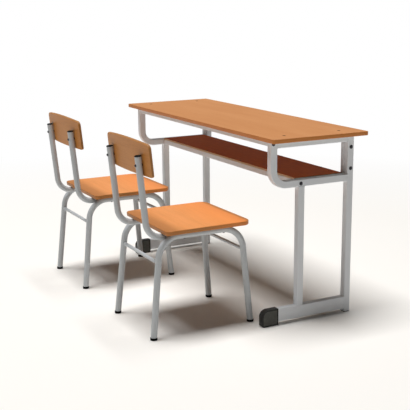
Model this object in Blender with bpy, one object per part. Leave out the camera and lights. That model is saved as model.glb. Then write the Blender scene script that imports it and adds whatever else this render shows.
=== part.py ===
"""A school desk for two with a book shelf, and the two loose chairs that stand in front of it.

X runs along the desk, +Y points away from the chairs and +Z is up. The floor is z = 0 and the
origin lies on it, under the middle of the whole set. All lengths are in metres. The names right
and left mean +X and -X.
"""
import math

import bmesh
import bpy
from mathutils import Vector

# Fits and roundness shared by every piece
GAP = 0.0003
ROUND_SIDES = 16
SMALL_SIDES = 12
BEND_STEPS = 6
CORNER_STEPS = 2
SMOOTH_ANGLE = math.radians(40)
QUARTER_TURN = math.pi / 2
ALONG_X = Vector((1, 0, 0))
ALONG_Y = Vector((0, 1, 0))
UP = Vector((0, 0, 1))

# Desk board
DESK_HEIGHT = 0.750
TOP_WIDTH = 1.350
TOP_DEPTH = 0.438
TOP_THICKNESS = 0.016
TOP_CORNER_RADIUS = 0.009
TOP_EDGE_ROUND = 0.002
TOP_CORNER_STEPS = 5

# Welded end frames of square tube
FRAME_OVERHANG = 0.058
FRAME_SETBACK = 0.0265
FRAME_TUBE = 0.0285
FRAME_WALL = 0.0015
FRAME_TUBE_CORNER = 0.003
LEG_BEND_RADIUS = 0.0565
BOOK_BAY_HEIGHT = 0.2025
LOWER_LEG_SETBACK = 0.1265
FOOT_RAIL_HEIGHT = 0.052
FOOT_RAIL_CLEARANCE = 0.014
FOOT_RAIL_FRONT = 0.0405

# Plastic foot caps at the front
CAP_LENGTH = 0.073
CAP_HEIGHT = 0.068
CAP_TOP_RADIUS = 0.029
CAP_TOE_RADIUS = 0.008
CAP_SPIGOT = 0.025
CAP_STEPS = 6

# Long rails, rear uprights and book shelf
RAIL_DEPTH = 0.020
RAIL_HEIGHT = 0.021
RAIL_WALL = 0.0015
RAIL_CORNER = 0.002
RAIL_END_PLATE = 0.005
UPRIGHT_WIDTH = 0.019
SHELF_RAIL_RISE = 0.002
SHELF_THICKNESS = 0.0075
SHELF_END_CLEARANCE = 0.001
SHELF_REAR_CLEARANCE = 0.0055
SHELF_EDGE_ROUND = 0.001

# Desk fasteners
TOP_SCREW_INSET = 0.092
TOP_SCREW_RADIUS = 0.003
TOP_SCREW_HEAD_RADIUS = 0.006
TOP_SCREW_HEAD = 0.003
TOP_SCREW_GRIP = 0.006
BOLT_RADIUS = 0.003
BOLT_HEAD_RADIUS = 0.005
BOLT_HEAD = 0.0035
BOLT_GRIP = 0.008
UPPER_BOLT_DROP = 0.050
LOWER_BOLT_DROP = 0.136
DOME_SHARE = 0.6

# Places of the chairs, from the end frame beside each to its foot tips, and from the board
RIGHT_CHAIR_CLEARANCE = 0.0515
LEFT_CHAIR_CLEARANCE = 0.0285
CHAIR_STANDOFF = 0.2187

# Chair tube frame, measured to tube centres
CHAIR_TUBE_RADIUS = 0.0125
CHAIR_TUBE_WALL = 0.0015
LEG_SPLAY = 0.0149
FOOT_BASE = 0.424
SEAT_OVERHANG = 0.0364
FRONT_LEG_LEAN = 0.0346
REAR_LEG_LEAN = 0.0405
FRONT_BEND_RADIUS = 0.089
REAR_BEND_RADIUS = 0.086
STRETCHER_RADIUS = 0.007
STRETCHER_WALL = 0.0012
FRONT_STRETCHER_HEIGHT = 0.300
REAR_STRETCHER_HEIGHT = 0.296

# Back posts, with their runs welded along the seat rails
POST_TOP = 0.7055
POST_TOP_REACH = 0.2423
POST_FOOT_REACH = 0.2108
POST_BEND_RADIUS = 0.064
POST_RUN_DROP = 0.003
POST_RUN_FRONT = 0.040

# Chair foot tips and post caps
TIP_RADIUS = 0.0140
TIP_HEIGHT = 0.010
TIP_SOLE = 0.005
TIP_FOOT_ROUND = 0.0015
POST_CAP_RADIUS = 0.0137
POST_CAP_HEIGHT = 0.0045
POST_CAP_SPIGOT = 0.012

# Moulded seat
SEAT_HEIGHT = 0.420
SEAT_THICKNESS = 0.017
SEAT_WIDTH = 0.393
SEAT_FRONT_CORNER_RADIUS = 0.026
SEAT_REAR_CORNER_RADIUS = 0.018
SEAT_FRONT = 0.205
SEAT_FLAT_REAR = 0.103
SEAT_ROLL_RADIUS = 0.756
SEAT_ROLL_ANGLE = math.radians(4.17)
SEAT_EDGE_ROUND = 0.003
SEAT_STEPS = 4

# Moulded back panel, measured along the lean of the posts
PANEL_BOTTOM = 0.625
PANEL_HEIGHT = 0.121
PANEL_CROWN = 0.010
PANEL_SIDE_OVERHANG = 0.0622
PANEL_THICKNESS = 0.012
PANEL_CURVE_RADIUS = 1.900
PANEL_TOP_CORNER_RADIUS = 0.018
PANEL_LOW_CORNER_RADIUS = 0.008
PANEL_EDGE_ROUND = 0.003
PANEL_STEPS = 10

# Where the desk's pieces meet
FRAME_TOP = DESK_HEIGHT - TOP_THICKNESS - GAP
FRAME_REAR = TOP_DEPTH / 2 - FRAME_SETBACK
FRAME_FRONT = -FRAME_REAR
FRAME_X = TOP_WIDTH / 2 - FRAME_OVERHANG - FRAME_TUBE / 2
INNER_X = FRAME_X - FRAME_TUBE / 2
OUTER_X = FRAME_X + FRAME_TUBE / 2
LEG_REAR = FRAME_FRONT + FRAME_TUBE
POST_FRONT = FRAME_REAR - FRAME_TUBE
POST_Y = FRAME_REAR - FRAME_TUBE / 2
FOOT_RAIL_TOP = FOOT_RAIL_CLEARANCE + FOOT_RAIL_HEIGHT
FOOT_RAIL_START = FRAME_FRONT + FOOT_RAIL_FRONT
LOWER_LEG_Y = FRAME_FRONT + LOWER_LEG_SETBACK + FRAME_TUBE / 2
LEG_RUN_BOTTOM = DESK_HEIGHT - BOOK_BAY_HEIGHT
SHELF_RAIL_BOTTOM = LEG_RUN_BOTTOM + SHELF_RAIL_RISE
SHELF_RAIL_TOP = SHELF_RAIL_BOTTOM + RAIL_HEIGHT
SHELF_FRONT = FRAME_FRONT + LOWER_LEG_SETBACK
SHELF_BOTTOM = SHELF_RAIL_TOP + GAP
TOP_RAIL_Z = FRAME_TOP - RAIL_HEIGHT / 2
TOP_RAIL_Y = FRAME_FRONT + RAIL_DEPTH / 2
SHELF_RAIL_Z = (SHELF_RAIL_BOTTOM + SHELF_RAIL_TOP) / 2
SHELF_RAIL_Y = SHELF_FRONT + RAIL_DEPTH / 2
REAR_TOP_RAIL_Y = FRAME_REAR - RAIL_DEPTH / 2
REAR_SHELF_RAIL_Y = POST_FRONT - GAP - RAIL_DEPTH / 2
UPRIGHT_X = INNER_X - GAP - UPRIGHT_WIDTH / 2
UPRIGHT_INNER_X = UPRIGHT_X - UPRIGHT_WIDTH / 2

# Where the chair's pieces meet, from the floor point midway between its feet
RAIL_SPREAD = SEAT_WIDTH - SEAT_OVERHANG * 2
FOOT_SPREAD = RAIL_SPREAD + LEG_SPLAY * 2
SEAT_RAIL_Z = SEAT_HEIGHT - SEAT_THICKNESS - GAP - CHAIR_TUBE_RADIUS
POST_RUN_Z = SEAT_RAIL_Z - POST_RUN_DROP
POST_X = RAIL_SPREAD / 2 - CHAIR_TUBE_RADIUS * 2 - GAP
PANEL_WIDTH = (POST_X + PANEL_SIDE_OVERHANG) * 2
POST_HEAD = Vector((POST_X, -POST_TOP_REACH, POST_TOP))
POST_FOOT = Vector((POST_X, -POST_FOOT_REACH, POST_RUN_Z))
POST_DIRECTION = (POST_HEAD - POST_FOOT).normalized()
PANEL_FORWARD = ALONG_X.cross(POST_DIRECTION) * -1
PANEL_CENTRE_REACH = math.sqrt(
    (PANEL_CURVE_RADIUS + POST_CAP_RADIUS + GAP) ** 2 - POST_X ** 2)

# The origin lies midway between the desk's rear edge and the rearmost points of the post caps
CAP_BREADTH_REACH = POST_CAP_RADIUS * math.cos(math.pi / ROUND_SIDES) * POST_DIRECTION.z
CAP_RIM_DEPTH = POST_CAP_HEIGHT * (1 - DOME_SHARE)
CHAIR_REAR_REACH = POST_TOP_REACH + CAP_RIM_DEPTH * POST_DIRECTION.y + CAP_BREADTH_REACH
DESK_Y = (CHAIR_STANDOFF + CHAIR_REAR_REACH) / 2
CHAIR_Y = DESK_Y - TOP_DEPTH / 2 - CHAIR_STANDOFF
CHAIR_X_LIMIT = INNER_X - TIP_RADIUS - FOOT_SPREAD / 2


def clear_scene():
    """Remove every object that the file holds."""
    for item in list(bpy.data.objects):
        bpy.data.objects.remove(item, do_unlink=True)


def finish(name, colour, roughness, metallic):
    """A plain Principled material."""
    look = bpy.data.materials.new(name)
    look.use_nodes = True
    shader = look.node_tree.nodes["Principled BSDF"]
    shader.inputs["Base Color"].default_value = (*colour, 1)
    shader.inputs["Roughness"].default_value = roughness
    shader.inputs["Metallic"].default_value = metallic
    return look


def desk_board_finish(name):
    return finish(name, (0.67, 0.30, 0.11), 0.35, 0)


def seat_ply_finish(name):
    return finish(name, (0.87, 0.35, 0.13), 0.35, 0)


def back_ply_finish(name):
    return finish(name, (0.50, 0.22, 0.08), 0.4, 0)


def shelf_finish(name):
    return finish(name, (0.13, 0.035, 0.012), 0.5, 0)


def paint_finish(name):
    return finish(name, (0.44, 0.45, 0.43), 0.4, 0)


def foot_plastic_finish(name):
    return finish(name, (0.05, 0.05, 0.045), 0.5, 0)


def black_plastic_finish(name):
    return finish(name, (0.012, 0.012, 0.012), 0.45, 0)


def dark_steel_finish(name):
    return finish(name, (0.06, 0.055, 0.05), 0.35, 1)


def add_piece(name, bm, look, parent):
    """Turn a closed bmesh into a named object with its own material."""
    bmesh.ops.recalc_face_normals(bm, faces=bm.faces)
    mesh = bpy.data.meshes.new(name)
    bm.to_mesh(mesh)
    bm.free()
    mesh.shade_smooth()
    mesh.set_sharp_from_angle(angle=SMOOTH_ANGLE)
    piece = bpy.data.objects.new(name, mesh)
    bpy.context.scene.collection.objects.link(piece)
    piece.parent = parent
    if look:
        mesh.materials.append(look(name))
    return piece


def add_place(name, location):
    """An empty that carries the pieces of one body."""
    place = bpy.data.objects.new(name, None)
    bpy.context.scene.collection.objects.link(place)
    place.location = location
    return place


def add_cutter(name, bm, parent):
    """A solid that only cuts holes."""
    cutter = add_piece(name, bm, None, parent)
    cutter.hide_render = True
    cutter.display_type = "WIRE"
    return cutter


def cut(pieces, cutter):
    """Take one cutter out of each piece."""
    for piece in pieces:
        hole = piece.modifiers.new(cutter.name, "BOOLEAN")
        hole.operation = "DIFFERENCE"
        hole.solver = "EXACT"
        hole.object = cutter


def bevel_edges(piece, width):
    """Ease the sharp edges of a board."""
    ease = piece.modifiers.new("eased_edges", "BEVEL")
    ease.width = width
    ease.segments = CORNER_STEPS
    ease.limit_method = "ANGLE"
    ease.angle_limit = SMOOTH_ANGLE


def bend(before, corner, after, radius, steps):
    """Points of an arc of the given radius that rounds one corner of a path."""
    arriving = (corner - before).normalized()
    leaving = (after - corner).normalized()
    turn = arriving.angle(leaving)
    reach = radius * math.tan(turn / 2)
    start = corner - arriving * reach
    inward = (leaving - arriving * arriving.dot(leaving)).normalized()
    points = []
    for step in range(steps + 1):
        angle = turn * step / steps
        ahead = arriving * (radius * math.sin(angle))
        points.append(start + ahead + inward * (radius * (1 - math.cos(angle))))
    return points


def rounded_path(corners, radii, steps):
    """Open path with straight runs, and an arc at each inner corner."""
    path = [corners[0]]
    for index, radius in enumerate(radii):
        path += bend(corners[index], corners[index + 1], corners[index + 2], radius, steps)
    path.append(corners[-1])
    return path


def rounded_outline(corners, radii, steps):
    """Closed outline of flat points, with an arc at each corner whose radius isn't zero."""
    outline = []
    for index, (corner, radius) in enumerate(zip(corners, radii)):
        if radius:
            after = corners[(index + 1) % len(corners)]
            outline += bend(corners[index - 1], corner, after, radius, steps)
        else:
            outline.append(corner)
    return outline


def rounded_rectangle(width, height, radius, steps):
    """Closed outline about its centre, with an arc at each corner."""
    points = []
    for turn, (side, rise) in enumerate(((1, 1), (-1, 1), (-1, -1), (1, -1))):
        for step in range(steps + 1):
            angle = QUARTER_TURN * (turn + step / steps)
            points.append((side * (width / 2 - radius) + radius * math.cos(angle),
                           rise * (height / 2 - radius) + radius * math.sin(angle)))
    return points


def circle(radius, sides):
    """Closed round outline with flats facing its axes."""
    turns = [2 * math.pi * (index + 1 / 2) / sides for index in range(sides)]
    return [(radius * math.cos(turn), radius * math.sin(turn)) for turn in turns]


def section_rings(path, side, outline):
    """The outline carried along a path that bends in the plane square to side."""
    runs = [(after - before).normalized() for before, after in zip(path, path[1:])]
    arriving_runs = runs[:1] + runs
    leaving_runs = runs + runs[-1:]
    rings = []
    for point, arriving, leaving in zip(path, arriving_runs, leaving_runs):
        heading = (arriving + leaving).normalized()
        across = side.cross(heading) / arriving.dot(heading)
        rings.append([point + across * first + side * second for first, second in outline])
    return rings


def add_skin(bm, rings):
    """Faces between neighbouring rings; gives back the first and the last ring of vertices."""
    loops = [[bm.verts.new(point) for point in ring] for ring in rings]
    for low, high in zip(loops, loops[1:]):
        for corners in zip(low, low[1:] + low[:1], high[1:] + high[:1], high):
            bm.faces.new(corners)
    return loops[0], loops[-1]


def add_solid(bm, rings):
    """Closed solid through a row of rings."""
    for loop in add_skin(bm, rings):
        bm.faces.new(loop)


def add_tube(bm, path, side, outer, inner):
    """Open-ended tube between an outer and an inner outline of as many points."""
    outer_ends = add_skin(bm, section_rings(path, side, outer))
    inner_ends = add_skin(bm, section_rings(path, side, inner))
    for outside, inside in zip(outer_ends, inner_ends):
        for corners in zip(outside, outside[1:] + outside[:1], inside[1:] + inside[:1], inside):
            bm.faces.new(corners)


def add_square_tube(bm, path, side, sizes, wall, corner):
    """Straight or bent tube of rectangular section; sizes are square to side, then along it."""
    first, second = sizes
    outer = rounded_rectangle(first, second, corner, CORNER_STEPS)
    inner = rounded_rectangle(first - wall * 2, second - wall * 2, corner - wall, CORNER_STEPS)
    add_tube(bm, path, side, outer, inner)


def add_round_tube(bm, path, side, radius, wall, sides):
    """Straight or bent tube of round section."""
    add_tube(bm, path, side, circle(radius, sides), circle(radius - wall, sides))


def add_turned(bm, start, heading, profile, sides):
    """Solid turned about heading from (distance, radius) pairs."""
    helper = ALONG_X if abs(heading.x) < abs(heading.z) + abs(heading.y) else UP
    side = heading.cross(helper).normalized()
    rings = []
    across = side.cross(heading)
    for distance, radius in profile:
        centre = start + heading * distance
        rings.append([centre + across * first + side * second
                      for first, second in circle(radius, sides)])
    add_solid(bm, rings)


def add_block(bm, low, high):
    """Box between two opposite corners."""
    rings = []
    for height in (low.z, high.z):
        rings.append([Vector((low.x, low.y, height)), Vector((high.x, low.y, height)),
                      Vector((high.x, high.y, height)), Vector((low.x, high.y, height))])
    add_solid(bm, rings)


def domed_screw(head, shank):
    """Outlines of a domed screw and its hole, from under the head; sizes are (radius, length)."""
    head_radius, head_height = head
    radius, length = shank
    screw = [(-head_height, head_radius * DOME_SHARE), (-head_height * DOME_SHARE, head_radius),
             (0, head_radius), (0, radius), (length, radius)]
    hole = [(-head_height, radius + GAP), (length + GAP, radius + GAP)]
    return screw, hole


def countersunk_screw(head, shank):
    """Outlines of a countersunk screw and its hole, from the flat top of the head."""
    head_radius, head_height = head
    radius, length = shank
    screw = [(0, head_radius), (head_height, radius), (length, radius)]
    hole = [(-head_height, head_radius + GAP), (GAP, head_radius + GAP),
            (head_height + GAP, radius + GAP), (length + GAP, radius + GAP)]
    return screw, hole


def bent_plate(outline, creases, place, thickness):
    """Plate drawn flat in (across, along), creased along its length and carried into shape."""
    flat = bmesh.new()
    flat.faces.new([flat.verts.new((across, along, 0)) for across, along in outline])
    for crease in creases:
        parts = flat.verts[:] + flat.edges[:] + flat.faces[:]
        bmesh.ops.bisect_plane(flat, geom=parts, plane_co=ALONG_Y * crease, plane_no=ALONG_Y,
                               dist=GAP / 2)
    flat.verts.index_update()
    bm = bmesh.new()
    skins = [[bm.verts.new(place(vertex.co.x, vertex.co.y, depth)) for vertex in flat.verts]
             for depth in (0, thickness)]
    for face in flat.faces:
        for skin in skins:
            bm.faces.new([skin[vertex.index] for vertex in face.verts])
    for edge in flat.edges:
        if edge.is_boundary:
            first, second = (vertex.index for vertex in edge.verts)
            bm.faces.new((skins[0][first], skins[0][second], skins[1][second], skins[1][first]))
    flat.free()
    return bm


def make_desk_top(desk):
    """Board with round corners and eased edges."""
    outline = rounded_rectangle(TOP_WIDTH, TOP_DEPTH, TOP_CORNER_RADIUS, TOP_CORNER_STEPS)
    heights = (DESK_HEIGHT - TOP_THICKNESS, DESK_HEIGHT)
    bm = bmesh.new()
    add_solid(bm, [[Vector((across, along, height)) for across, along in outline]
                   for height in heights])
    board = add_piece("desk_top", bm, desk_board_finish, desk)
    bevel_edges(board, TOP_EDGE_ROUND)
    return board


def make_front_leg(desk, name, x):
    """Front leg that bends back under the book shelf and runs to the rear post."""
    y = FRAME_FRONT + FRAME_TUBE / 2
    z = LEG_RUN_BOTTOM + FRAME_TUBE / 2
    corners = [Vector((x, y, FRAME_TOP)), Vector((x, y, z)), Vector((x, POST_FRONT - GAP, z))]
    bm = bmesh.new()
    path = rounded_path(corners, [LEG_BEND_RADIUS], BEND_STEPS)
    add_square_tube(bm, path, ALONG_X, (FRAME_TUBE, FRAME_TUBE), FRAME_WALL, FRAME_TUBE_CORNER)
    return add_piece("front_leg_" + name, bm, paint_finish, desk)


def make_upright_tube(desk, name, x, y, low, high):
    """Square frame tube that stands upright."""
    bm = bmesh.new()
    path = [Vector((x, y, low)), Vector((x, y, high))]
    add_square_tube(bm, path, ALONG_X, (FRAME_TUBE, FRAME_TUBE), FRAME_WALL, FRAME_TUBE_CORNER)
    return add_piece(name, bm, paint_finish, desk)


def make_level_tube(desk, name, x, z, height, start):
    """Frame tube that runs level to the rear post from start."""
    bm = bmesh.new()
    path = [Vector((x, start, z)), Vector((x, POST_FRONT - GAP, z))]
    add_square_tube(bm, path, ALONG_X, (height, FRAME_TUBE), FRAME_WALL, FRAME_TUBE_CORNER)
    return add_piece(name, bm, paint_finish, desk)


def make_foot_cap(desk, name, x):
    """Toe cap that stands on the floor, with a spigot in the foot rail."""
    heel = FOOT_RAIL_START - GAP
    toe = heel - CAP_LENGTH
    sections = []
    for step in range(CAP_STEPS + 1):
        turn = QUARTER_TURN * step / CAP_STEPS
        y = toe + CAP_TOP_RADIUS * (1 - math.cos(turn))
        dip = max(1 - (y - toe) / CAP_TOE_RADIUS, 0)
        low = CAP_TOE_RADIUS * (1 - math.sqrt(1 - dip ** 2))
        sections.append((y, FRAME_TUBE, low, CAP_HEIGHT - CAP_TOP_RADIUS * (1 - math.sin(turn))))
    inset = FRAME_WALL + GAP
    spigot = (FRAME_TUBE - inset * 2, FOOT_RAIL_CLEARANCE + inset, FOOT_RAIL_TOP - inset)
    sections += [(heel, FRAME_TUBE, 0, CAP_HEIGHT), (heel, *spigot), (heel + CAP_SPIGOT, *spigot)]
    rings = []
    for y, width, low, high in sections:
        outline = rounded_rectangle(width, high - low, FRAME_TUBE_CORNER - FRAME_WALL, CORNER_STEPS)
        rings.append([Vector((x + across, y, (low + high) / 2 + rise)) for across, rise in outline])
    bm = bmesh.new()
    add_solid(bm, rings)
    add_piece("foot_cap_" + name, bm, foot_plastic_finish, desk)


def make_welded_rail(desk, name, half_length, y, z):
    """Open-ended rail that is welded between two uprights or frames."""
    bm = bmesh.new()
    path = [Vector((-half_length, y, z)), Vector((half_length, y, z))]
    add_square_tube(bm, path, ALONG_Y, (RAIL_HEIGHT, RAIL_DEPTH), RAIL_WALL, RAIL_CORNER)
    add_piece(name, bm, paint_finish, desk)


def make_bolted_rail(desk, name, half_length, y, z):
    """Rail whose ends are closed by plates that take the frame bolts."""
    solids = []
    for inset, shortening in ((0, 0), (RAIL_WALL, RAIL_END_PLATE)):
        reach = half_length - shortening
        outline = rounded_rectangle(RAIL_HEIGHT - inset * 2, RAIL_DEPTH - inset * 2,
                                    RAIL_CORNER - inset, CORNER_STEPS)
        path = [Vector((-reach, y, z)), Vector((reach, y, z))]
        bm = bmesh.new()
        add_solid(bm, section_rings(path, ALONG_Y, outline))
        solids.append(bm)
    rail = add_piece(name, solids[0], paint_finish, desk)
    cut([rail], add_cutter(name + "_core", solids[1], desk))
    return rail


def make_rear_upright(desk, name, x, y):
    """Upright of the rear frame, bolted to the rear post beside it."""
    bm = bmesh.new()
    path = [Vector((x, y, SHELF_RAIL_BOTTOM)), Vector((x, y, FRAME_TOP))]
    add_square_tube(bm, path, ALONG_X, (FRAME_TUBE, UPRIGHT_WIDTH), RAIL_WALL, RAIL_CORNER)
    return add_piece("rear_upright_" + name, bm, paint_finish, desk)


def make_book_shelf(desk):
    """Thin board that lies on the two shelf rails."""
    half = INNER_X - SHELF_END_CLEARANCE
    bm = bmesh.new()
    add_block(bm, Vector((-half, SHELF_FRONT, SHELF_BOTTOM)),
              Vector((half, POST_FRONT - SHELF_REAR_CLEARANCE, SHELF_BOTTOM + SHELF_THICKNESS)))
    board = add_piece("book_shelf", bm, shelf_finish, desk)
    bevel_edges(board, SHELF_EDGE_ROUND)
    return board


def add_fasteners(desk, places, outlines, pieces):
    """Equal screws at named places, each with its hole in the pieces that it passes through."""
    screw_outline, hole_outline = outlines
    holes = bmesh.new()
    for name, seat, heading in places:
        screw = bmesh.new()
        add_turned(screw, seat, heading, screw_outline, SMALL_SIDES)
        add_turned(holes, seat, heading, hole_outline, SMALL_SIDES)
        add_piece(name, screw, dark_steel_finish, desk)
    cut(pieces, add_cutter(places[0][0] + "_holes", holes, desk))


def fasten_desk_top(desk, board, aprons):
    """Screws sunk into the board's face, down into the side aprons."""
    places = []
    for side_name, side in (("right", 1), ("left", -1)):
        for end_name, end in (("rear", 1), ("front", -1)):
            y = end * (TOP_DEPTH / 2 - TOP_SCREW_INSET)
            seat = Vector((side * FRAME_X, y, DESK_HEIGHT - GAP))
            places.append((f"top_screw_{side_name}_{end_name}", seat, -UP))
    outlines = countersunk_screw((TOP_SCREW_HEAD_RADIUS, TOP_SCREW_HEAD),
                                 (TOP_SCREW_RADIUS, TOP_THICKNESS + TOP_SCREW_GRIP))
    add_fasteners(desk, places, outlines, [board] + aprons)


def fasten_frames(desk, tubes):
    """Bolts through the end frames into the front rails' end plates and the rear uprights."""
    spots = (("top_rail", TOP_RAIL_Y, TOP_RAIL_Z), ("shelf_rail", SHELF_RAIL_Y, SHELF_RAIL_Z),
             ("upper_post", POST_Y, FRAME_TOP - UPPER_BOLT_DROP),
             ("lower_post", POST_Y, FRAME_TOP - LOWER_BOLT_DROP))
    places = []
    for side_name, side in (("right", 1), ("left", -1)):
        for spot, y, z in spots:
            seat = Vector((side * (OUTER_X + GAP), y, z))
            places.append((f"{spot}_bolt_{side_name}", seat, ALONG_X * -side))
    outlines = domed_screw((BOLT_HEAD_RADIUS, BOLT_HEAD), (BOLT_RADIUS, FRAME_TUBE + BOLT_GRIP))
    add_fasteners(desk, places, outlines, tubes)


def make_desk():
    """The desk: two end frames, four long rails, the rear uprights and the two boards."""
    desk = add_place("desk", ALONG_Y * DESK_Y)
    aprons = []
    bolted = []
    for name, side in (("right", 1), ("left", -1)):
        x = side * FRAME_X
        bolted.append(make_front_leg(desk, name, x))
        bolted.append(make_upright_tube(desk, "rear_post_" + name, x, POST_Y, 0, FRAME_TOP))
        bolted.append(make_rear_upright(desk, name, side * UPRIGHT_X, POST_Y))
        make_upright_tube(desk, "lower_leg_" + name, x, LOWER_LEG_Y,
                          FOOT_RAIL_TOP + GAP, LEG_RUN_BOTTOM - GAP)
        make_level_tube(desk, "foot_rail_" + name, x, FOOT_RAIL_TOP - FOOT_RAIL_HEIGHT / 2,
                        FOOT_RAIL_HEIGHT, FOOT_RAIL_START)
        aprons.append(make_level_tube(desk, "side_apron_" + name, x, FRAME_TOP - FRAME_TUBE / 2,
                                      FRAME_TUBE, LEG_REAR + GAP))
        make_foot_cap(desk, name, x)
    between_frames = INNER_X - GAP
    between_uprights = UPRIGHT_INNER_X - GAP
    make_welded_rail(desk, "rear_top_rail", between_uprights, REAR_TOP_RAIL_Y, TOP_RAIL_Z)
    make_welded_rail(desk, "rear_shelf_rail", between_frames, REAR_SHELF_RAIL_Y, SHELF_RAIL_Z)
    bolted.append(make_bolted_rail(desk, "front_top_rail", between_frames, TOP_RAIL_Y, TOP_RAIL_Z))
    bolted.append(make_bolted_rail(desk, "front_shelf_rail", between_frames,
                                   SHELF_RAIL_Y, SHELF_RAIL_Z))
    fasten_frames(desk, bolted)
    fasten_desk_top(desk, make_desk_top(desk), aprons)
    make_book_shelf(desk)


def leg_point(side, end, height):
    """Centre of a chair leg at a height; end is 1 at the front and -1 at the rear."""
    share = height / SEAT_RAIL_Z
    lean = FRONT_LEG_LEAN if end > 0 else REAR_LEG_LEAN
    x = FOOT_SPREAD / 2 * (1 - share) + RAIL_SPREAD / 2 * share
    return Vector((side * x, end * (FOOT_BASE / 2 - lean * share), height))


def make_side_frame(chair, name, side):
    """Front leg, seat rail and rear leg bent from one tube."""
    corners = [leg_point(side, 1, TIP_SOLE), leg_point(side, 1, SEAT_RAIL_Z),
               leg_point(side, -1, SEAT_RAIL_Z), leg_point(side, -1, TIP_SOLE)]
    square = (corners[1] - corners[0]).cross(corners[2] - corners[1]).normalized()
    bm = bmesh.new()
    path = rounded_path(corners, [FRONT_BEND_RADIUS, REAR_BEND_RADIUS], BEND_STEPS)
    add_round_tube(bm, path, square, CHAIR_TUBE_RADIUS, CHAIR_TUBE_WALL, ROUND_SIDES)
    add_piece(name, bm, paint_finish, chair)


def make_back_post(chair, name, side):
    """Back post bent forward at its foot, to run beside the seat rail."""
    corners = []
    for point in (POST_HEAD - POST_DIRECTION * (POST_CAP_HEIGHT + GAP), POST_FOOT,
                  Vector((POST_X, POST_RUN_FRONT, POST_RUN_Z))):
        corners.append(Vector((side * point.x, point.y, point.z)))
    bm = bmesh.new()
    path = rounded_path(corners, [POST_BEND_RADIUS], BEND_STEPS)
    add_round_tube(bm, path, ALONG_X, CHAIR_TUBE_RADIUS, CHAIR_TUBE_WALL, ROUND_SIDES)
    add_piece(name, bm, paint_finish, chair)


def make_stretcher(chair, name, end, height, legs):
    """Cross tube between two legs, coped to fit round them."""
    bm = bmesh.new()
    path = [leg_point(-1, end, height), leg_point(1, end, height)]
    add_round_tube(bm, path, ALONG_Y, STRETCHER_RADIUS, STRETCHER_WALL, SMALL_SIDES)
    cut([add_piece(name, bm, paint_finish, chair)], legs)


def leg_cutter(chair, name):
    """The four legs as solid rods, a gap wider than the tubes, up to the seat rails."""
    bm = bmesh.new()
    for side in (1, -1):
        for end in (1, -1):
            foot = leg_point(side, end, TIP_SOLE)
            run = leg_point(side, end, SEAT_RAIL_Z) - foot
            radius = CHAIR_TUBE_RADIUS + GAP
            add_turned(bm, foot, run.normalized(), [(-GAP, radius), (run.length, radius)], ROUND_SIDES)
    return add_cutter(name, bm, chair)


def make_foot_tips(chair, prefix, legs):
    """Black tips with flat soles, hollowed for the ends of the legs."""
    profile = [(0, TIP_RADIUS - TIP_FOOT_ROUND), (TIP_FOOT_ROUND, TIP_RADIUS),
               (TIP_HEIGHT, TIP_RADIUS)]
    for side_name, side in (("right", 1), ("left", -1)):
        for end_name, end in (("front", 1), ("rear", -1)):
            centre = leg_point(side, end, TIP_HEIGHT / 2)
            centre.z = 0
            bm = bmesh.new()
            add_turned(bm, centre, UP, profile, ROUND_SIDES)
            name = f"{prefix}foot_tip_{end_name}_{side_name}"
            cut([add_piece(name, bm, black_plastic_finish, chair)], legs)


def make_post_cap(chair, name, side):
    """Black cap that plugs the top of a back post."""
    spigot = CHAIR_TUBE_RADIUS - CHAIR_TUBE_WALL - GAP
    profile = [(0, POST_CAP_RADIUS * DOME_SHARE), (CAP_RIM_DEPTH, POST_CAP_RADIUS),
               (POST_CAP_HEIGHT, POST_CAP_RADIUS), (POST_CAP_HEIGHT, spigot),
               (POST_CAP_HEIGHT + POST_CAP_SPIGOT, spigot)]
    bm = bmesh.new()
    head = Vector((side * POST_HEAD.x, POST_HEAD.y, POST_HEAD.z))
    add_turned(bm, head, -POST_DIRECTION, profile, ROUND_SIDES)
    add_piece(name, bm, black_plastic_finish, chair)


def seat_place(across, along, depth):
    """Point of the seat at a depth under its top, which is flat and rolls down at the rear."""
    turn = max(-along - SEAT_FLAT_REAR, 0) / SEAT_ROLL_RADIUS
    radius = SEAT_ROLL_RADIUS - depth
    if turn == 0:
        return Vector((across, along, SEAT_HEIGHT - depth))
    drop = SEAT_ROLL_RADIUS - radius * math.cos(turn)
    return Vector((across, -SEAT_FLAT_REAR - radius * math.sin(turn), SEAT_HEIGHT - drop))


def make_seat(chair, name):
    """Moulded plywood seat."""
    roll = SEAT_ROLL_RADIUS * SEAT_ROLL_ANGLE
    rear = -SEAT_FLAT_REAR - roll
    half = SEAT_WIDTH / 2
    corners = [Vector((half, SEAT_FRONT)), Vector((-half, SEAT_FRONT)),
               Vector((-half, rear)), Vector((half, rear))]
    radii = [SEAT_FRONT_CORNER_RADIUS] * 2 + [SEAT_REAR_CORNER_RADIUS] * 2
    outline = rounded_outline(corners, radii, SEAT_STEPS)
    creases = [-SEAT_FLAT_REAR - roll * step / SEAT_STEPS for step in range(SEAT_STEPS)]
    plate = bent_plate(outline, creases, seat_place, SEAT_THICKNESS)
    bevel_edges(add_piece(name, plate, seat_ply_finish, chair), SEAT_EDGE_ROUND)


def panel_place(up, along, depth):
    """Point of the back panel, curved about an axis in front of it that leans like the posts."""
    turn = along / PANEL_CURVE_RADIUS
    radius = PANEL_CURVE_RADIUS - depth
    axis = POST_HEAD + PANEL_FORWARD * PANEL_CENTRE_REACH
    axis.x = 0
    rise = (PANEL_BOTTOM + up - POST_TOP) / POST_DIRECTION.z
    around = ALONG_X * (radius * math.sin(turn)) - PANEL_FORWARD * (radius * math.cos(turn))
    return axis + POST_DIRECTION * rise + around


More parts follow.
